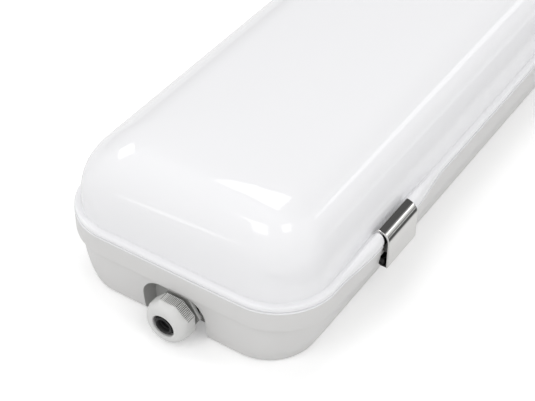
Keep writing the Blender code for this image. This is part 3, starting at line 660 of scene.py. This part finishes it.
def make_latches(steel, painted_shade):
    outline = [(-out, up) for out, up in strip_outline(latch_line(), latch_sheet / 2)]
    end, margin = latch_width / 2, 0.5 * mm
    strip = skin_mesh("strip", [[(x, y, z) for y, z in outline] for x in (-end, margin - end, end - margin, end)])
    plate_face, far = plate_inside - pivot_side, 9 * mm
    room = [(-plate_face, -far), (far, -far), (far, far), (-plate_face, far)]
    spans = [(-eye_gap_half, eye_gap_half), (-end - cut_margin, eye_inset - end), (end - eye_inset, end + cut_margin)]
    notches = merged([block(room, low, high) for low, high in spans])
    mesh = applied(strip, [(notches, "DIFFERENCE")], "latch_strip")
    soften(mesh, lambda edge: edge.calc_face_angle(0) > math.radians(60), latch_edge, 2, 40)
    eye_top, eye_side = 3 * mm, 0.1 * mm - plate_face
    # The eye faces by the pin take the near-black steel, as painted shade.
    finish_faces(mesh, steel, painted_shade, lambda centre: centre.z < eye_top and centre.y > eye_side)
    reach = end - eye_inset - pin_short
    small = pin_radius - pin_chamfer
    ends = [(-reach, small), (pin_chamfer - reach, pin_radius), (reach - pin_chamfer, pin_radius), (reach, small)]
    pin = skin_mesh("latch_pin", [[(x, u, v) for u, v in circle(radius, 24)] for x, radius in ends])
    number = 0
    for side in (-1, 1):
        for place in latch_places:
            number += 1
            spot = Matrix.Translation((place, side * pivot_side, pivot_height))
            if side > 0:
                spot = spot @ half_turn
            piece(f"latch_strip_{number}", mesh, steel, f"latch_{number}", [f"latch_{number}"], spot)
            # The hinge pins take the near-black steel, as painted shade.
            piece(f"hinge_pin_{number}", pin, painted_shade, "case", [f"latch_pin_{number}"], spot)


# ---------------------------------------------------------------- gland

def rib_at(place, angle):
    """Share of a rib's height at a place along the dome nut and an angle round it, 1 on a crest and off the ribs."""
    half = math.pi / nut_flats
    face = int(((angle - math.pi / 2 + half) % (2 * math.pi)) / (2 * half))
    across = nut_across / 2 * math.tan(from_flat(angle, nut_flats))
    on_flat = nut_in + rib_margin < place < nut_flat_end + rib_margin and abs(across) <= rib_half_span
    if face not in ribbed_flats or not on_flat:
        return 1.0
    return 0.5 + 0.5 * math.cos(2 * math.pi * across / rib_pitch)


# Faces deep in the rib grooves, which take the darker grey as painted shade.
def in_groove(centre):
    return rib_at(-centre.x, math.atan2(centre.z, centre.y)) < groove_share


def nut_radius(place, angle):
    """How far the dome nut's skin reaches at a place along its axis and an angle round it."""
    flat = nut_across / 2 / math.cos(from_flat(angle, nut_flats))
    t = max((place - nut_flat_end) / (nut_out - nut_flat_end), 0)
    body = flat + (nut_across / 2 * nut_round_share - flat) * smoothstep(t / nut_ease_share)
    reach = nut_face_radius + (body - nut_face_radius) * math.sqrt(max(1 - t ** 2, 0))
    return reach - rib_depth * (1 - rib_at(place, angle))


def make_gland_nut(finish, groove_shade_finish):
    sides, steps = nut_flats * 84, 26
    edge, foot = 0.25 * mm, 0.6 * mm
    places = [nut_in, nut_in + edge, nut_in + 0.45 * mm]
    length = nut_out - nut_in - foot
    places += [nut_in + foot + length * math.sin(math.pi / 2 * k / steps) for k in range(steps + 1)]
    angles = [2 * math.pi * k / sides for k in range(sides)]
    bore = thread_radius + thread_gap

    def ring(place, radii):
        return [(-place, radius * math.cos(a), radius * math.sin(a)) for a, radius in zip(angles, radii)]

    def around(place, radius):
        return ring(place, [radius] * sides)

    rings = [around(nut_in, bore)]
    for place in places:
        drop = edge if place == nut_in else 0.0
        rings.append(ring(place, [nut_radius(place, a) - drop for a in angles]))
    lip = 0.35 * mm
    rings += [
        around(nut_out, nut_face_radius - 0.5 * mm),
        around(nut_out, nut_hole_radius + lip + 0.25 * mm),
        around(nut_out - 0.1 * mm, nut_hole_radius + lip),
        around(nut_out - 0.75 * mm, nut_hole_radius),
        around(nut_out - 2.2 * mm, nut_hole_radius),
        around(nut_out - 2.5 * mm, nut_hole_radius + 0.9 * mm),
        around(nut_out - 2.8 * mm, bore),
    ]
    mesh = skin_mesh("dome_nut", rings, closed=True, sharp_deg=50)
    # The faces in the rib grooves take the darker grey, as painted shade.
    finish_faces(mesh, finish, groove_shade_finish, in_groove)
    return piece("dome_nut", mesh, finish, "gland_nut", ["gland_nut"], entry)


def thread_rows(start, end):
    """Ridges of a thread along a barrel, as closed grooves one pitch apart."""
    rows = []
    for k in range(int((end - start) / thread_pitch)):
        for share, depth in ((0.1, 0), (0.5, thread_depth), (0.9, 0)):
            rows += rows_of((start + thread_pitch * (k + share), thread_radius - depth))
    return rows


def make_gland_body(finish, painted_shade_finish):
    front, tail = 0.0063, -0.0220
    flange_half_across, flange_edge = 0.0105, 0.4 * mm
    cage_bore, cage_seat = 6.9 * mm, flange_out - 2.2 * mm
    rows = rows_of((tail, barrel_bore), (tail, thread_radius - thread_run_in))
    rows += thread_rows(tail + thread_run_in, flange_in - 0.6 * mm)
    rows += rows_of((flange_in, thread_radius))
    rows += rounded_bar(flange_in, flange_out, flange_half_across, "flat", flange_edge)
    rows += rows_of((flange_out, thread_radius + thread_gap))
    rows += thread_rows(flange_out + 0.2 * mm, front - thread_run_in)
    rows += rows_of((front, thread_radius - thread_run_in), (front, cage_bore))
    rows += rows_of((cage_seat, cage_bore), (cage_seat, barrel_bore))
    mesh = turned(rows, sides=96, flats=6, closed=True, name="entry_body")
    # Faces from the flange's front outwards, in the gap behind the nut, take the darker grey as painted shade.
    finish_faces(mesh, finish, painted_shade_finish, lambda centre: -centre.x > flange_out - 0.15 * mm)
    return piece("entry_body", mesh, finish, "case", ["gland_body"], entry)


def make_seal(finish):
    inside, front = -0.00155, nut_out - 0.45 * mm
    inner, outer, step_depth, edge = 3.5 * mm, 6.0 * mm, 2.4 * mm, 0.25 * mm
    rows = rows_of((inside, inner), (inside, outer), (front - step_depth, outer), (front - step_depth, 4.95 * mm))
    rows += rows_of((front - edge, 4.85 * mm), (front, 4.6 * mm))
    rows += rows_of((front, inner + 0.5 * mm), (front - edge, inner + edge), (front - 1.2 * mm, inner))
    groove_width, groove_depth, first, apart = 0.8 * mm, 0.35 * mm, 2.0 * mm, 1.6 * mm
    for k in range(4):
        base = front - first - apart * k
        rows += rows_of((base, inner), (base - groove_width / 2, inner + groove_depth), (base - groove_width, inner))
    mesh = turned(rows, sides=72, closed=True, name="seal_ring")
    return piece("seal_ring", mesh, finish, "gland_insert", ["gland_seal"], entry)


def make_locknuts(finish):
    lock_out, thickness, half_across, edge = -0.0148, 4.5 * mm, 0.0099, 0.3 * mm
    bore = thread_radius + thread_gap
    for name, node, place in (("entry_locknut", "gland_locknut", entry), ("far_locknut", "plug_locknut", far_entry)):
        rows = rows_of((lock_out - thickness, bore))
        rows += rounded_bar(lock_out - thickness, lock_out, half_across, "flat", edge)
        rows += rows_of((lock_out, bore))
        mesh = turned(rows, sides=72, flats=6, closed=True, name=name)
        piece(name, mesh, finish, "case", [node], place)


def make_washers(finish):
    place_in, thickness, radius, edge = -0.00565, 1.3 * mm, 9.6 * mm, 0.3 * mm
    bore = thread_radius + thread_gap
    for name, node, place in (("entry_washer", "gland_washer", entry), ("far_washer", "plug_washer", far_entry)):
        rows = rows_of((place_in, bore))
        rows += rounded_bar(place_in, place_in + thickness, radius, "round", edge)
        rows += rows_of((place_in + thickness, bore))
        mesh = turned(rows, sides=72, closed=True, name=name)
        piece(name, mesh, finish, "case", [node], place)


def make_plug(finish):
    head_out, tail, tail_radius = -0.00065, -0.0200, 6.5 * mm
    head_radius, head_edge = 9.8 * mm, 0.6 * mm
    slot_depth, slot_half_width, slot_reach = 1.4 * mm, 1.1 * mm, 12 * mm
    rows = rows_of((tail, tail_radius), (tail, thread_radius - thread_run_in))
    rows += thread_rows(tail + thread_run_in, flange_in - 0.8 * mm)
    rows += rows_of((flange_in, thread_radius))
    rows += rounded_bar(flange_in, head_out, head_radius, "round", head_edge)
    rows += rows_of((head_out, 3 * mm))
    mesh = turned(rows, sides=96, name="plug")
    corners = [(slot_depth, -1), (-cut_overrun, -1), (-cut_overrun, 1), (slot_depth, 1)]
    slot = skin_mesh("slot", [
        [(deep - head_out, y, half * slot_half_width) for deep, half in corners] for y in (-slot_reach, slot_reach)
    ])
    mesh = applied(mesh, [(slot, "DIFFERENCE")], "entry_plug")
    shade(mesh)
    return piece("entry_plug", mesh, finish, "case", ["blanking_plug"], far_entry)


# ---------------------------------------------------------------- finishes

def node_group(name, inputs, outputs):
    """A shader node group with named sockets. Inputs are (name, kind, value) and outputs (name, kind)."""
    group = bpy.data.node_groups.new(name, "ShaderNodeTree")
    for label, kind, value in inputs:
        socket = group.interface.new_socket(label, in_out="INPUT", socket_type=kind)
        socket.default_value = value
    for label, kind in outputs:
        group.interface.new_socket(label, in_out="OUTPUT", socket_type=kind)
    return group, group.nodes.new("NodeGroupInput"), group.nodes.new("NodeGroupOutput")


def math_node(tree, operation, first, second=None, clamp=False):
    node = tree.nodes.new("ShaderNodeMath")
    node.operation = operation
    node.use_clamp = clamp
    for socket, value in zip(node.inputs, (first, second)):
        if value is None:
            continue
        if isinstance(value, (int, float)):
            socket.default_value = value
        else:
            tree.links.new(value, socket)
    return node.outputs[0]


def noise_node(tree, vector, scale, detail=3.0, roughness=0.5):
    node = tree.nodes.new("ShaderNodeTexNoise")
    tree.links.new(vector, node.inputs["Vector"])
    if isinstance(scale, (int, float)):
        node.inputs["Scale"].default_value = scale
    else:
        tree.links.new(scale, node.inputs["Scale"])
    node.inputs["Detail"].default_value = detail
    node.inputs["Roughness"].default_value = roughness
    return node.outputs["Fac"]


surface_outputs = [("Colour", "NodeSocketColor"), ("Roughness", "NodeSocketFloat"), ("Normal", "NodeSocketVector")]


def end_group(group, given, out, level, rough, relief, height):
    """Leads a surface effect out: the colour scaled by a level, the roughness changed and a relief as the normal."""
    links = group.links
    tint = group.nodes.new("ShaderNodeVectorMath")
    tint.operation = "SCALE"
    links.new(given.outputs["Colour"], tint.inputs[0])
    links.new(level, tint.inputs["Scale"])
    links.new(tint.outputs[0], out.inputs["Colour"])
    links.new(math_node(group, "ADD", rough, given.outputs["Roughness"], True), out.inputs["Roughness"])
    bump = group.nodes.new("ShaderNodeBump")
    bump.inputs["Strength"].default_value = 1.0
    links.new(given.outputs[height], bump.inputs["Distance"])
    links.new(relief, bump.inputs["Height"])
    links.new(bump.outputs[0], out.inputs["Normal"])
    return group


def stretched(group, where, share):
    """Coordinates drawn out along X."""
    stretch = group.nodes.new("ShaderNodeMapping")
    stretch.inputs["Scale"].default_value = (share, 1, 1)
    group.links.new(where, stretch.inputs["Vector"])
    return stretch.outputs[0]


def moulded_group():
    """Moulded plastic: a fine grain, faint flow marks in the colour, and a roughness that varies a little."""
    group, given, out = node_group("moulded plastic", [
        ("Colour", "NodeSocketColor", (0.7, 0.7, 0.7, 1)),
        ("Flow", "NodeSocketFloat", 0.03),
        ("Roughness", "NodeSocketFloat", 0.4),
        ("Spread", "NodeSocketFloat", 0.08),
        ("Grain Scale", "NodeSocketFloat", 2500.0),
        ("Grain Height", "NodeSocketFloat", 0.00001),
    ], surface_outputs)
    where = group.nodes.new("ShaderNodeTexCoord").outputs["Object"]
    flow = noise_node(group, stretched(group, where, 0.35), 22.0, 4.0)
    grain = noise_node(group, where, given.outputs["Grain Scale"], 2.0)
    smudge = noise_node(group, where, 60.0, 5.0, 0.6)
    swing = math_node(group, "MULTIPLY", math_node(group, "SUBTRACT", flow, 0.5), given.outputs["Flow"])
    level = math_node(group, "ADD", swing, 1.0)
    rough = math_node(group, "MULTIPLY", math_node(group, "SUBTRACT", smudge, 0.5), given.outputs["Spread"])
    return end_group(group, given, out, level, rough, grain, "Grain Height")


def rolled_group():
    """Rolled sheet or drawn wire: streaks along the rolling direction in roughness, colour and relief."""
    group, given, out = node_group("rolled metal", [
        ("Colour", "NodeSocketColor", (0.6, 0.6, 0.6, 1)),
        ("Roughness", "NodeSocketFloat", 0.2),
        ("Streak", "NodeSocketFloat", 0.08),
        ("Streak Height", "NodeSocketFloat", 0.000004),
    ], surface_outputs)
    where = group.nodes.new("ShaderNodeTexCoord").outputs["Object"]
    streak = noise_node(group, stretched(group, where, 0.04), 2200.0, 3.0, 0.6)
    cloud = noise_node(group, where, 120.0, 4.0, 0.55)
    fine = math_node(group, "MULTIPLY", streak, 0.6)
    both = math_node(group, "ADD", fine, math_node(group, "MULTIPLY", cloud, 0.4))
    centred = math_node(group, "SUBTRACT", both, 0.5)
    rough = math_node(group, "MULTIPLY", centred, given.outputs["Streak"])
    level = math_node(group, "ADD", math_node(group, "MULTIPLY", centred, 0.12), 1.0)
    return end_group(group, given, out, level, rough, streak, "Streak Height")


def finish_with(name, group, values, metallic=0.0, ior=1.5):
    """A material whose Principled shader is fed by a group with its own values."""
    made = bpy.data.materials.new(name)
    made.use_nodes = True
    tree = made.node_tree
    shader = tree.nodes["Principled BSDF"]
    effect = tree.nodes.new("ShaderNodeGroup")
    effect.node_tree = group
    for label, value in values.items():
        effect.inputs[label].default_value = (*value, 1.0) if isinstance(value, tuple) else value
    for label, target in (("Colour", "Base Color"), ("Roughness", "Roughness"), ("Normal", "Normal")):
        tree.links.new(effect.outputs[label], shader.inputs[target])
    shader.inputs["Metallic"].default_value = metallic
    shader.inputs["IOR"].default_value = ior
    return made


moulded = moulded_group()
rolled = rolled_group()

opal = finish_with("opal diffuser plastic", moulded, {
    "Colour": (0.90, 0.90, 0.915), "Flow": 0.006, "Roughness": 0.035, "Spread": 0.015,
    "Grain Scale": 900.0, "Grain Height": 0.0000008,
}, ior=1.49)
housing_grey = finish_with("housing grey plastic", moulded, {
    "Colour": (0.705, 0.700, 0.693), "Flow": 0.015, "Roughness": 0.40, "Spread": 0.10,
    "Grain Scale": 2600.0, "Grain Height": 0.000006,
})
# A darker grey for the faces of the entry recesses: painted shade, where the recess lies in shadow.
recess_painted_shade = finish_with("housing grey plastic in the recess", moulded, {
    "Colour": (0.50, 0.50, 0.49), "Flow": 0.03, "Roughness": 0.50, "Spread": 0.10,
    "Grain Scale": 2600.0, "Grain Height": 0.00001,
})
gland_grey = finish_with("gland grey plastic", moulded, {
    "Colour": (0.70, 0.70, 0.69), "Flow": 0.02, "Roughness": 0.34, "Spread": 0.10,
    "Grain Scale": 3200.0, "Grain Height": 0.000004,
})
# A darker grey for faces in the nut's rib grooves and in the gap behind the nut: painted shade.
groove_painted_shade = finish_with("gland grey plastic in grooves", moulded, {
    "Colour": (0.30, 0.30, 0.29), "Flow": 0.02, "Roughness": 0.45, "Spread": 0.10,
    "Grain Scale": 3200.0, "Grain Height": 0.000004,
})
black_rubber = finish_with("black rubber", moulded, {
    "Colour": (0.012, 0.012, 0.012), "Flow": 0.3, "Roughness": 0.62, "Spread": 0.2,
    "Grain Scale": 3000.0, "Grain Height": 0.00001,
})
gasket_foam = finish_with("gasket foam", moulded, {
    "Colour": (0.28, 0.28, 0.29), "Flow": 0.2, "Roughness": 0.9, "Spread": 0.1,
    "Grain Scale": 1400.0, "Grain Height": 0.00006,
})
stainless = finish_with("stainless strip", rolled, {
    "Colour": (0.77, 0.765, 0.75), "Roughness": 0.10, "Streak": 0.06, "Streak Height": 0.0000015,
}, metallic=1.0)
# Near-black steel for the latch eyes and hinge pins: painted shade, where they sit in shadow under the band.
painted_shade_steel = finish_with("dark pin steel", rolled, {
    "Colour": (0.05, 0.05, 0.05), "Roughness": 0.45, "Streak": 0.12, "Streak Height": 0.000003,
}, metallic=1.0)
zinc = finish_with("zinc plated screw", rolled, {
    "Colour": (0.60, 0.60, 0.63), "Roughness": 0.30, "Streak": 0.16, "Streak Height": 0.000003,
}, metallic=1.0)
brass = finish_with("plain brass", rolled, {
    "Colour": (0.66, 0.50, 0.24), "Roughness": 0.28, "Streak": 0.14, "Streak Height": 0.000003,
}, metallic=1.0)
tray_white = finish_with("white tray paint", moulded, {
    "Colour": (0.82, 0.82, 0.81), "Flow": 0.02, "Roughness": 0.38, "Spread": 0.08,
    "Grain Scale": 700.0, "Grain Height": 0.00002,
})
board_white = finish_with("board lacquer", moulded, {
    "Colour": (0.80, 0.82, 0.80), "Flow": 0.02, "Roughness": 0.42, "Spread": 0.08,
    "Grain Scale": 1500.0, "Grain Height": 0.000008,
})
driver_white = finish_with("driver case plastic", moulded, {
    "Colour": (0.76, 0.76, 0.76), "Flow": 0.03, "Roughness": 0.48, "Spread": 0.10,
    "Grain Scale": 1800.0, "Grain Height": 0.00002,
})


def insulation(name, colour):
    return finish_with(name, moulded, {
        "Colour": colour, "Flow": 0.08, "Roughness": 0.42, "Spread": 0.1,
        "Grain Scale": 2500.0, "Grain Height": 0.000006,
    })


def dress_inner_nodes():
    """Every CAD node that still shows gets its finish."""
    finishes = {
        "gasket": gasket_foam, "gland_cage": gland_grey, "gear_tray": tray_white, "led_driver": driver_white,
        "terminal_block": driver_white, "terminal_screw": zinc, "earth_screw": zinc, "earth_nut": brass,
        "tray_screw": zinc, "board_screw": zinc, "driver_screw": zinc, "led_board": board_white,
        "line_lead": insulation("black insulation", (0.02, 0.02, 0.02)),
        "neutral_lead": insulation("white insulation", (0.72, 0.72, 0.72)),
        "earth_lead": insulation("green insulation", (0.05, 0.33, 0.08)),
        "driver_lead_plus": insulation("red insulation", (0.52, 0.03, 0.03)),
        "driver_lead_minus": insulation("dark insulation", (0.03, 0.03, 0.035)),
    }
    for name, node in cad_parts.items():
        finish = finishes.get(name.rstrip("_123456789"))
        if finish:
            node.data.materials.clear()
            node.data.materials.append(finish)


# ---------------------------------------------------------------- studio

camera_place = (-0.96095, -0.28629, 0.47262)
camera_down_deg = 41.186
camera_heading_deg = -56.385
lens_length = 89.84
sensor_width = 36.0


def make_camera():
    lens = bpy.data.cameras.new("photo camera")
    lens.sensor_width = sensor_width
    lens.lens = lens_length
    lens.clip_start = 0.02
    lens.clip_end = 30.0
    camera = new_object("photo_camera", lens)
    camera.location = camera_place
    camera.rotation_euler = (math.radians(90 - camera_down_deg), 0, math.radians(camera_heading_deg))
    bpy.context.scene.camera = camera


box_radiance = 2.95
strip_radiance = 1.4
near_fill_radiance = 1.2
end_fill_radiance = 1.15


def softbox(name, centre, along, across, shape="RECTANGLE", radiance=box_radiance):
    """A studio light from its centre and its two half sides as vectors, which shines towards the object."""
    along, across = Vector(along), Vector(across)
    away = along.cross(across).normalized()
    if away.dot(Vector(centre) - Vector((-half_length, 0, 0))) < 0:
        away.negate()
    lamp = bpy.data.lights.new(name, "AREA")
    lamp.shape = shape
    lamp.size = 2 * along.length
    lamp.size_y = 2 * across.length
    lamp.energy = radiance * math.pi * lamp.size * lamp.size_y
    box = new_object(name, lamp)
    u = along.normalized()
    box.matrix_world = Matrix.Translation(centre) @ Matrix((u, away.cross(u), away)).transposed().to_4x4()
    return box


def ramp_between(tree, value, low, high):
    """0 below low, 1 above high, smooth between."""
    node = tree.nodes.new("ShaderNodeMapRange")
    node.interpolation_type = "SMOOTHSTEP"
    tree.links.new(value, node.inputs["Value"])
    node.inputs["From Min"].default_value = low
    node.inputs["From Max"].default_value = high
    return node.outputs["Result"]


def make_softboxes():
    """The boxes that the dome mirrors, and two fills that nothing mirrors."""
    softbox("overhead_far", (-0.59, 1.24, 1.2), (0.18, -0.26, 0), (0.25, 0.19, 0))
    softbox("overhead_middle", (-0.21, 0.24, 1.2), (0.26, 0, 0), (0.04, -0.32, 0))
    softbox("overhead_end", (-1.30, 0.18, 1.2), (0.11, -0.32, 0), (0.19, 0.06, 0))
    softbox("overhead_near", (-0.72, -0.57, 1.2), (0.12, -0.10, 0), (0.07, 0.11, 0))
    softbox("side_strip", (2.06, -1.3, 1.175), (1.43, 0, 0.178), (0, 0, 0.17), "ELLIPSE", strip_radiance)
    softbox("end_strip", (-2.0, 0.766, 0.42), (0, -0.16, 0.16), (0, 0.042, 0.042), "ELLIPSE", strip_radiance)
    fills = [
        softbox("near_fill", (0, -2.2, 1.5), (1.6, 0, 0), (0, 0.4, 0.5), radiance=near_fill_radiance),
        softbox("end_fill", (-2.8, 0, 1.5), (0, 1.2, 0), (0.4, 0, 0.5), radiance=end_fill_radiance),
    ]
    for fill in fills:
        fill.visible_glossy = False


soft_light = 0.50
mirror_bright = 0.86
mirror_dark = 0.10
halo_level = 0.85

# Where the dark and the paler halo in it begin and end, as parts of a direction
dark_ahead = (-0.1, 0.3)
dark_above = (0.0, 0.12)
halo_beside = (0.38, 0.62)
halo_above = (0.04, 0.42)


def make_world():
    """White to the camera, a soft even light on everything, and a dark quarter that only mirrors show."""
    world = bpy.data.worlds.new("studio")
    bpy.context.scene.world = world
    world.use_nodes = True
    tree = world.node_tree
    back = tree.nodes["Background"]
    path = tree.nodes.new("ShaderNodeLightPath")
    seen = math_node(tree, "MAXIMUM", path.outputs["Is Camera Ray"], path.outputs["Is Transmission Ray"])
    glossy = path.outputs["Is Glossy Ray"]
    axes = tree.nodes.new("ShaderNodeSeparateXYZ")
    tree.links.new(tree.nodes.new("ShaderNodeTexCoord").outputs["Generated"], axes.inputs[0])
    far_side = ramp_between(tree, axes.outputs["X"], *dark_ahead)
    above = ramp_between(tree, axes.outputs["Z"], *dark_above)
    dark = math_node(tree, "MULTIPLY", far_side, above)
    beside = ramp_between(tree, math_node(tree, "MULTIPLY", axes.outputs["Y"], -1.0), *halo_beside)
    halo = math_node(tree, "MULTIPLY", beside, ramp_between(tree, axes.outputs["Z"], *halo_above))
    depth = math_node(tree, "SUBTRACT", mirror_bright - mirror_dark, math_node(tree, "MULTIPLY", halo, halo_level))
    mirror = math_node(tree, "SUBTRACT", mirror_bright, math_node(tree, "MULTIPLY", dark, depth))
    level = math_node(tree, "ADD", math_node(tree, "MULTIPLY", seen, 1 - soft_light), soft_light)
    change = math_node(tree, "MULTIPLY", glossy, math_node(tree, "SUBTRACT", mirror, soft_light))
    tree.links.new(math_node(tree, "ADD", level, change), back.inputs["Strength"])
    back.inputs["Color"].default_value = (1, 1, 1, 1)


floor_glow = 0.26
floor_white = 0.88
floor_mirror_drop = 0.78
floor_drop = 0.0002
floor_half = 6.0
far_floor = (1.5, 3.5)
dark_floor_beside = (0.115, 0.175)


def make_floor():
    """A pale floor, whiter far off, and dark beside the fixture for what mirrors show."""
    size = floor_half
    shape = bmesh.new()
    corners = [shape.verts.new((x, y, 0)) for x, y in ((-size, -size), (size, -size), (size, size), (-size, size))]
    shape.faces.new(corners)
    mesh = bpy.data.meshes.new("studio_floor")
    shape.to_mesh(mesh)
    shape.free()
    finish = bpy.data.materials.new("white floor")
    finish.use_nodes = True
    tree = finish.node_tree
    shader = tree.nodes["Principled BSDF"]
    shader.inputs["Roughness"].default_value = 0.9
    shader.inputs["Specular IOR Level"].default_value = 0.0
    path = tree.nodes.new("ShaderNodeLightPath")
    axes = tree.nodes.new("ShaderNodeSeparateXYZ")
    where = tree.nodes.new("ShaderNodeTexCoord").outputs["Object"]
    tree.links.new(where, axes.inputs[0])
    distance = tree.nodes.new("ShaderNodeVectorMath")
    distance.operation = "LENGTH"
    tree.links.new(where, distance.inputs[0])
    far = ramp_between(tree, distance.outputs["Value"], *far_floor)
    glow = math_node(tree, "ADD", math_node(tree, "MULTIPLY", far, 1 - floor_glow), floor_glow)
    aside = ramp_between(tree, math_node(tree, "MULTIPLY", axes.outputs["Y"], -1.0), *dark_floor_beside)
    mirrored = math_node(tree, "MULTIPLY", aside, path.outputs["Is Glossy Ray"])
    level = math_node(tree, "SUBTRACT", floor_white, math_node(tree, "MULTIPLY", mirrored, floor_mirror_drop))
    colour = tree.nodes.new("ShaderNodeCombineColor")
    for socket in colour.inputs:
        tree.links.new(level, socket)
    tree.links.new(colour.outputs[0], shader.inputs["Base Color"])
    shader.inputs["Emission Color"].default_value = (1, 1, 1, 1)
    seen_glow = math_node(tree, "MULTIPLY", path.outputs["Is Camera Ray"], glow)
    tree.links.new(seen_glow, shader.inputs["Emission Strength"])
    mesh.materials.append(finish)
    floor = new_object("studio_floor", mesh)
    floor.location = (0, 0, -floor_drop)


make_camera()
make_world()
make_floor()
make_softboxes()

# black_rubber also lines the cut latch seats, as painted shade.
make_diffuser(opal, black_rubber)
make_housing(housing_grey, recess_painted_shade, black_rubber)
make_latches(stainless, painted_shade_steel)
make_gland_nut(gland_grey, groove_painted_shade)
make_gland_body(gland_grey, groove_painted_shade)
make_seal(black_rubber)
make_locknuts(gland_grey)
make_washers(black_rubber)
make_plug(gland_grey)
dress_inner_nodes()

bpy.context.scene.view_settings.view_transform = "Standard"
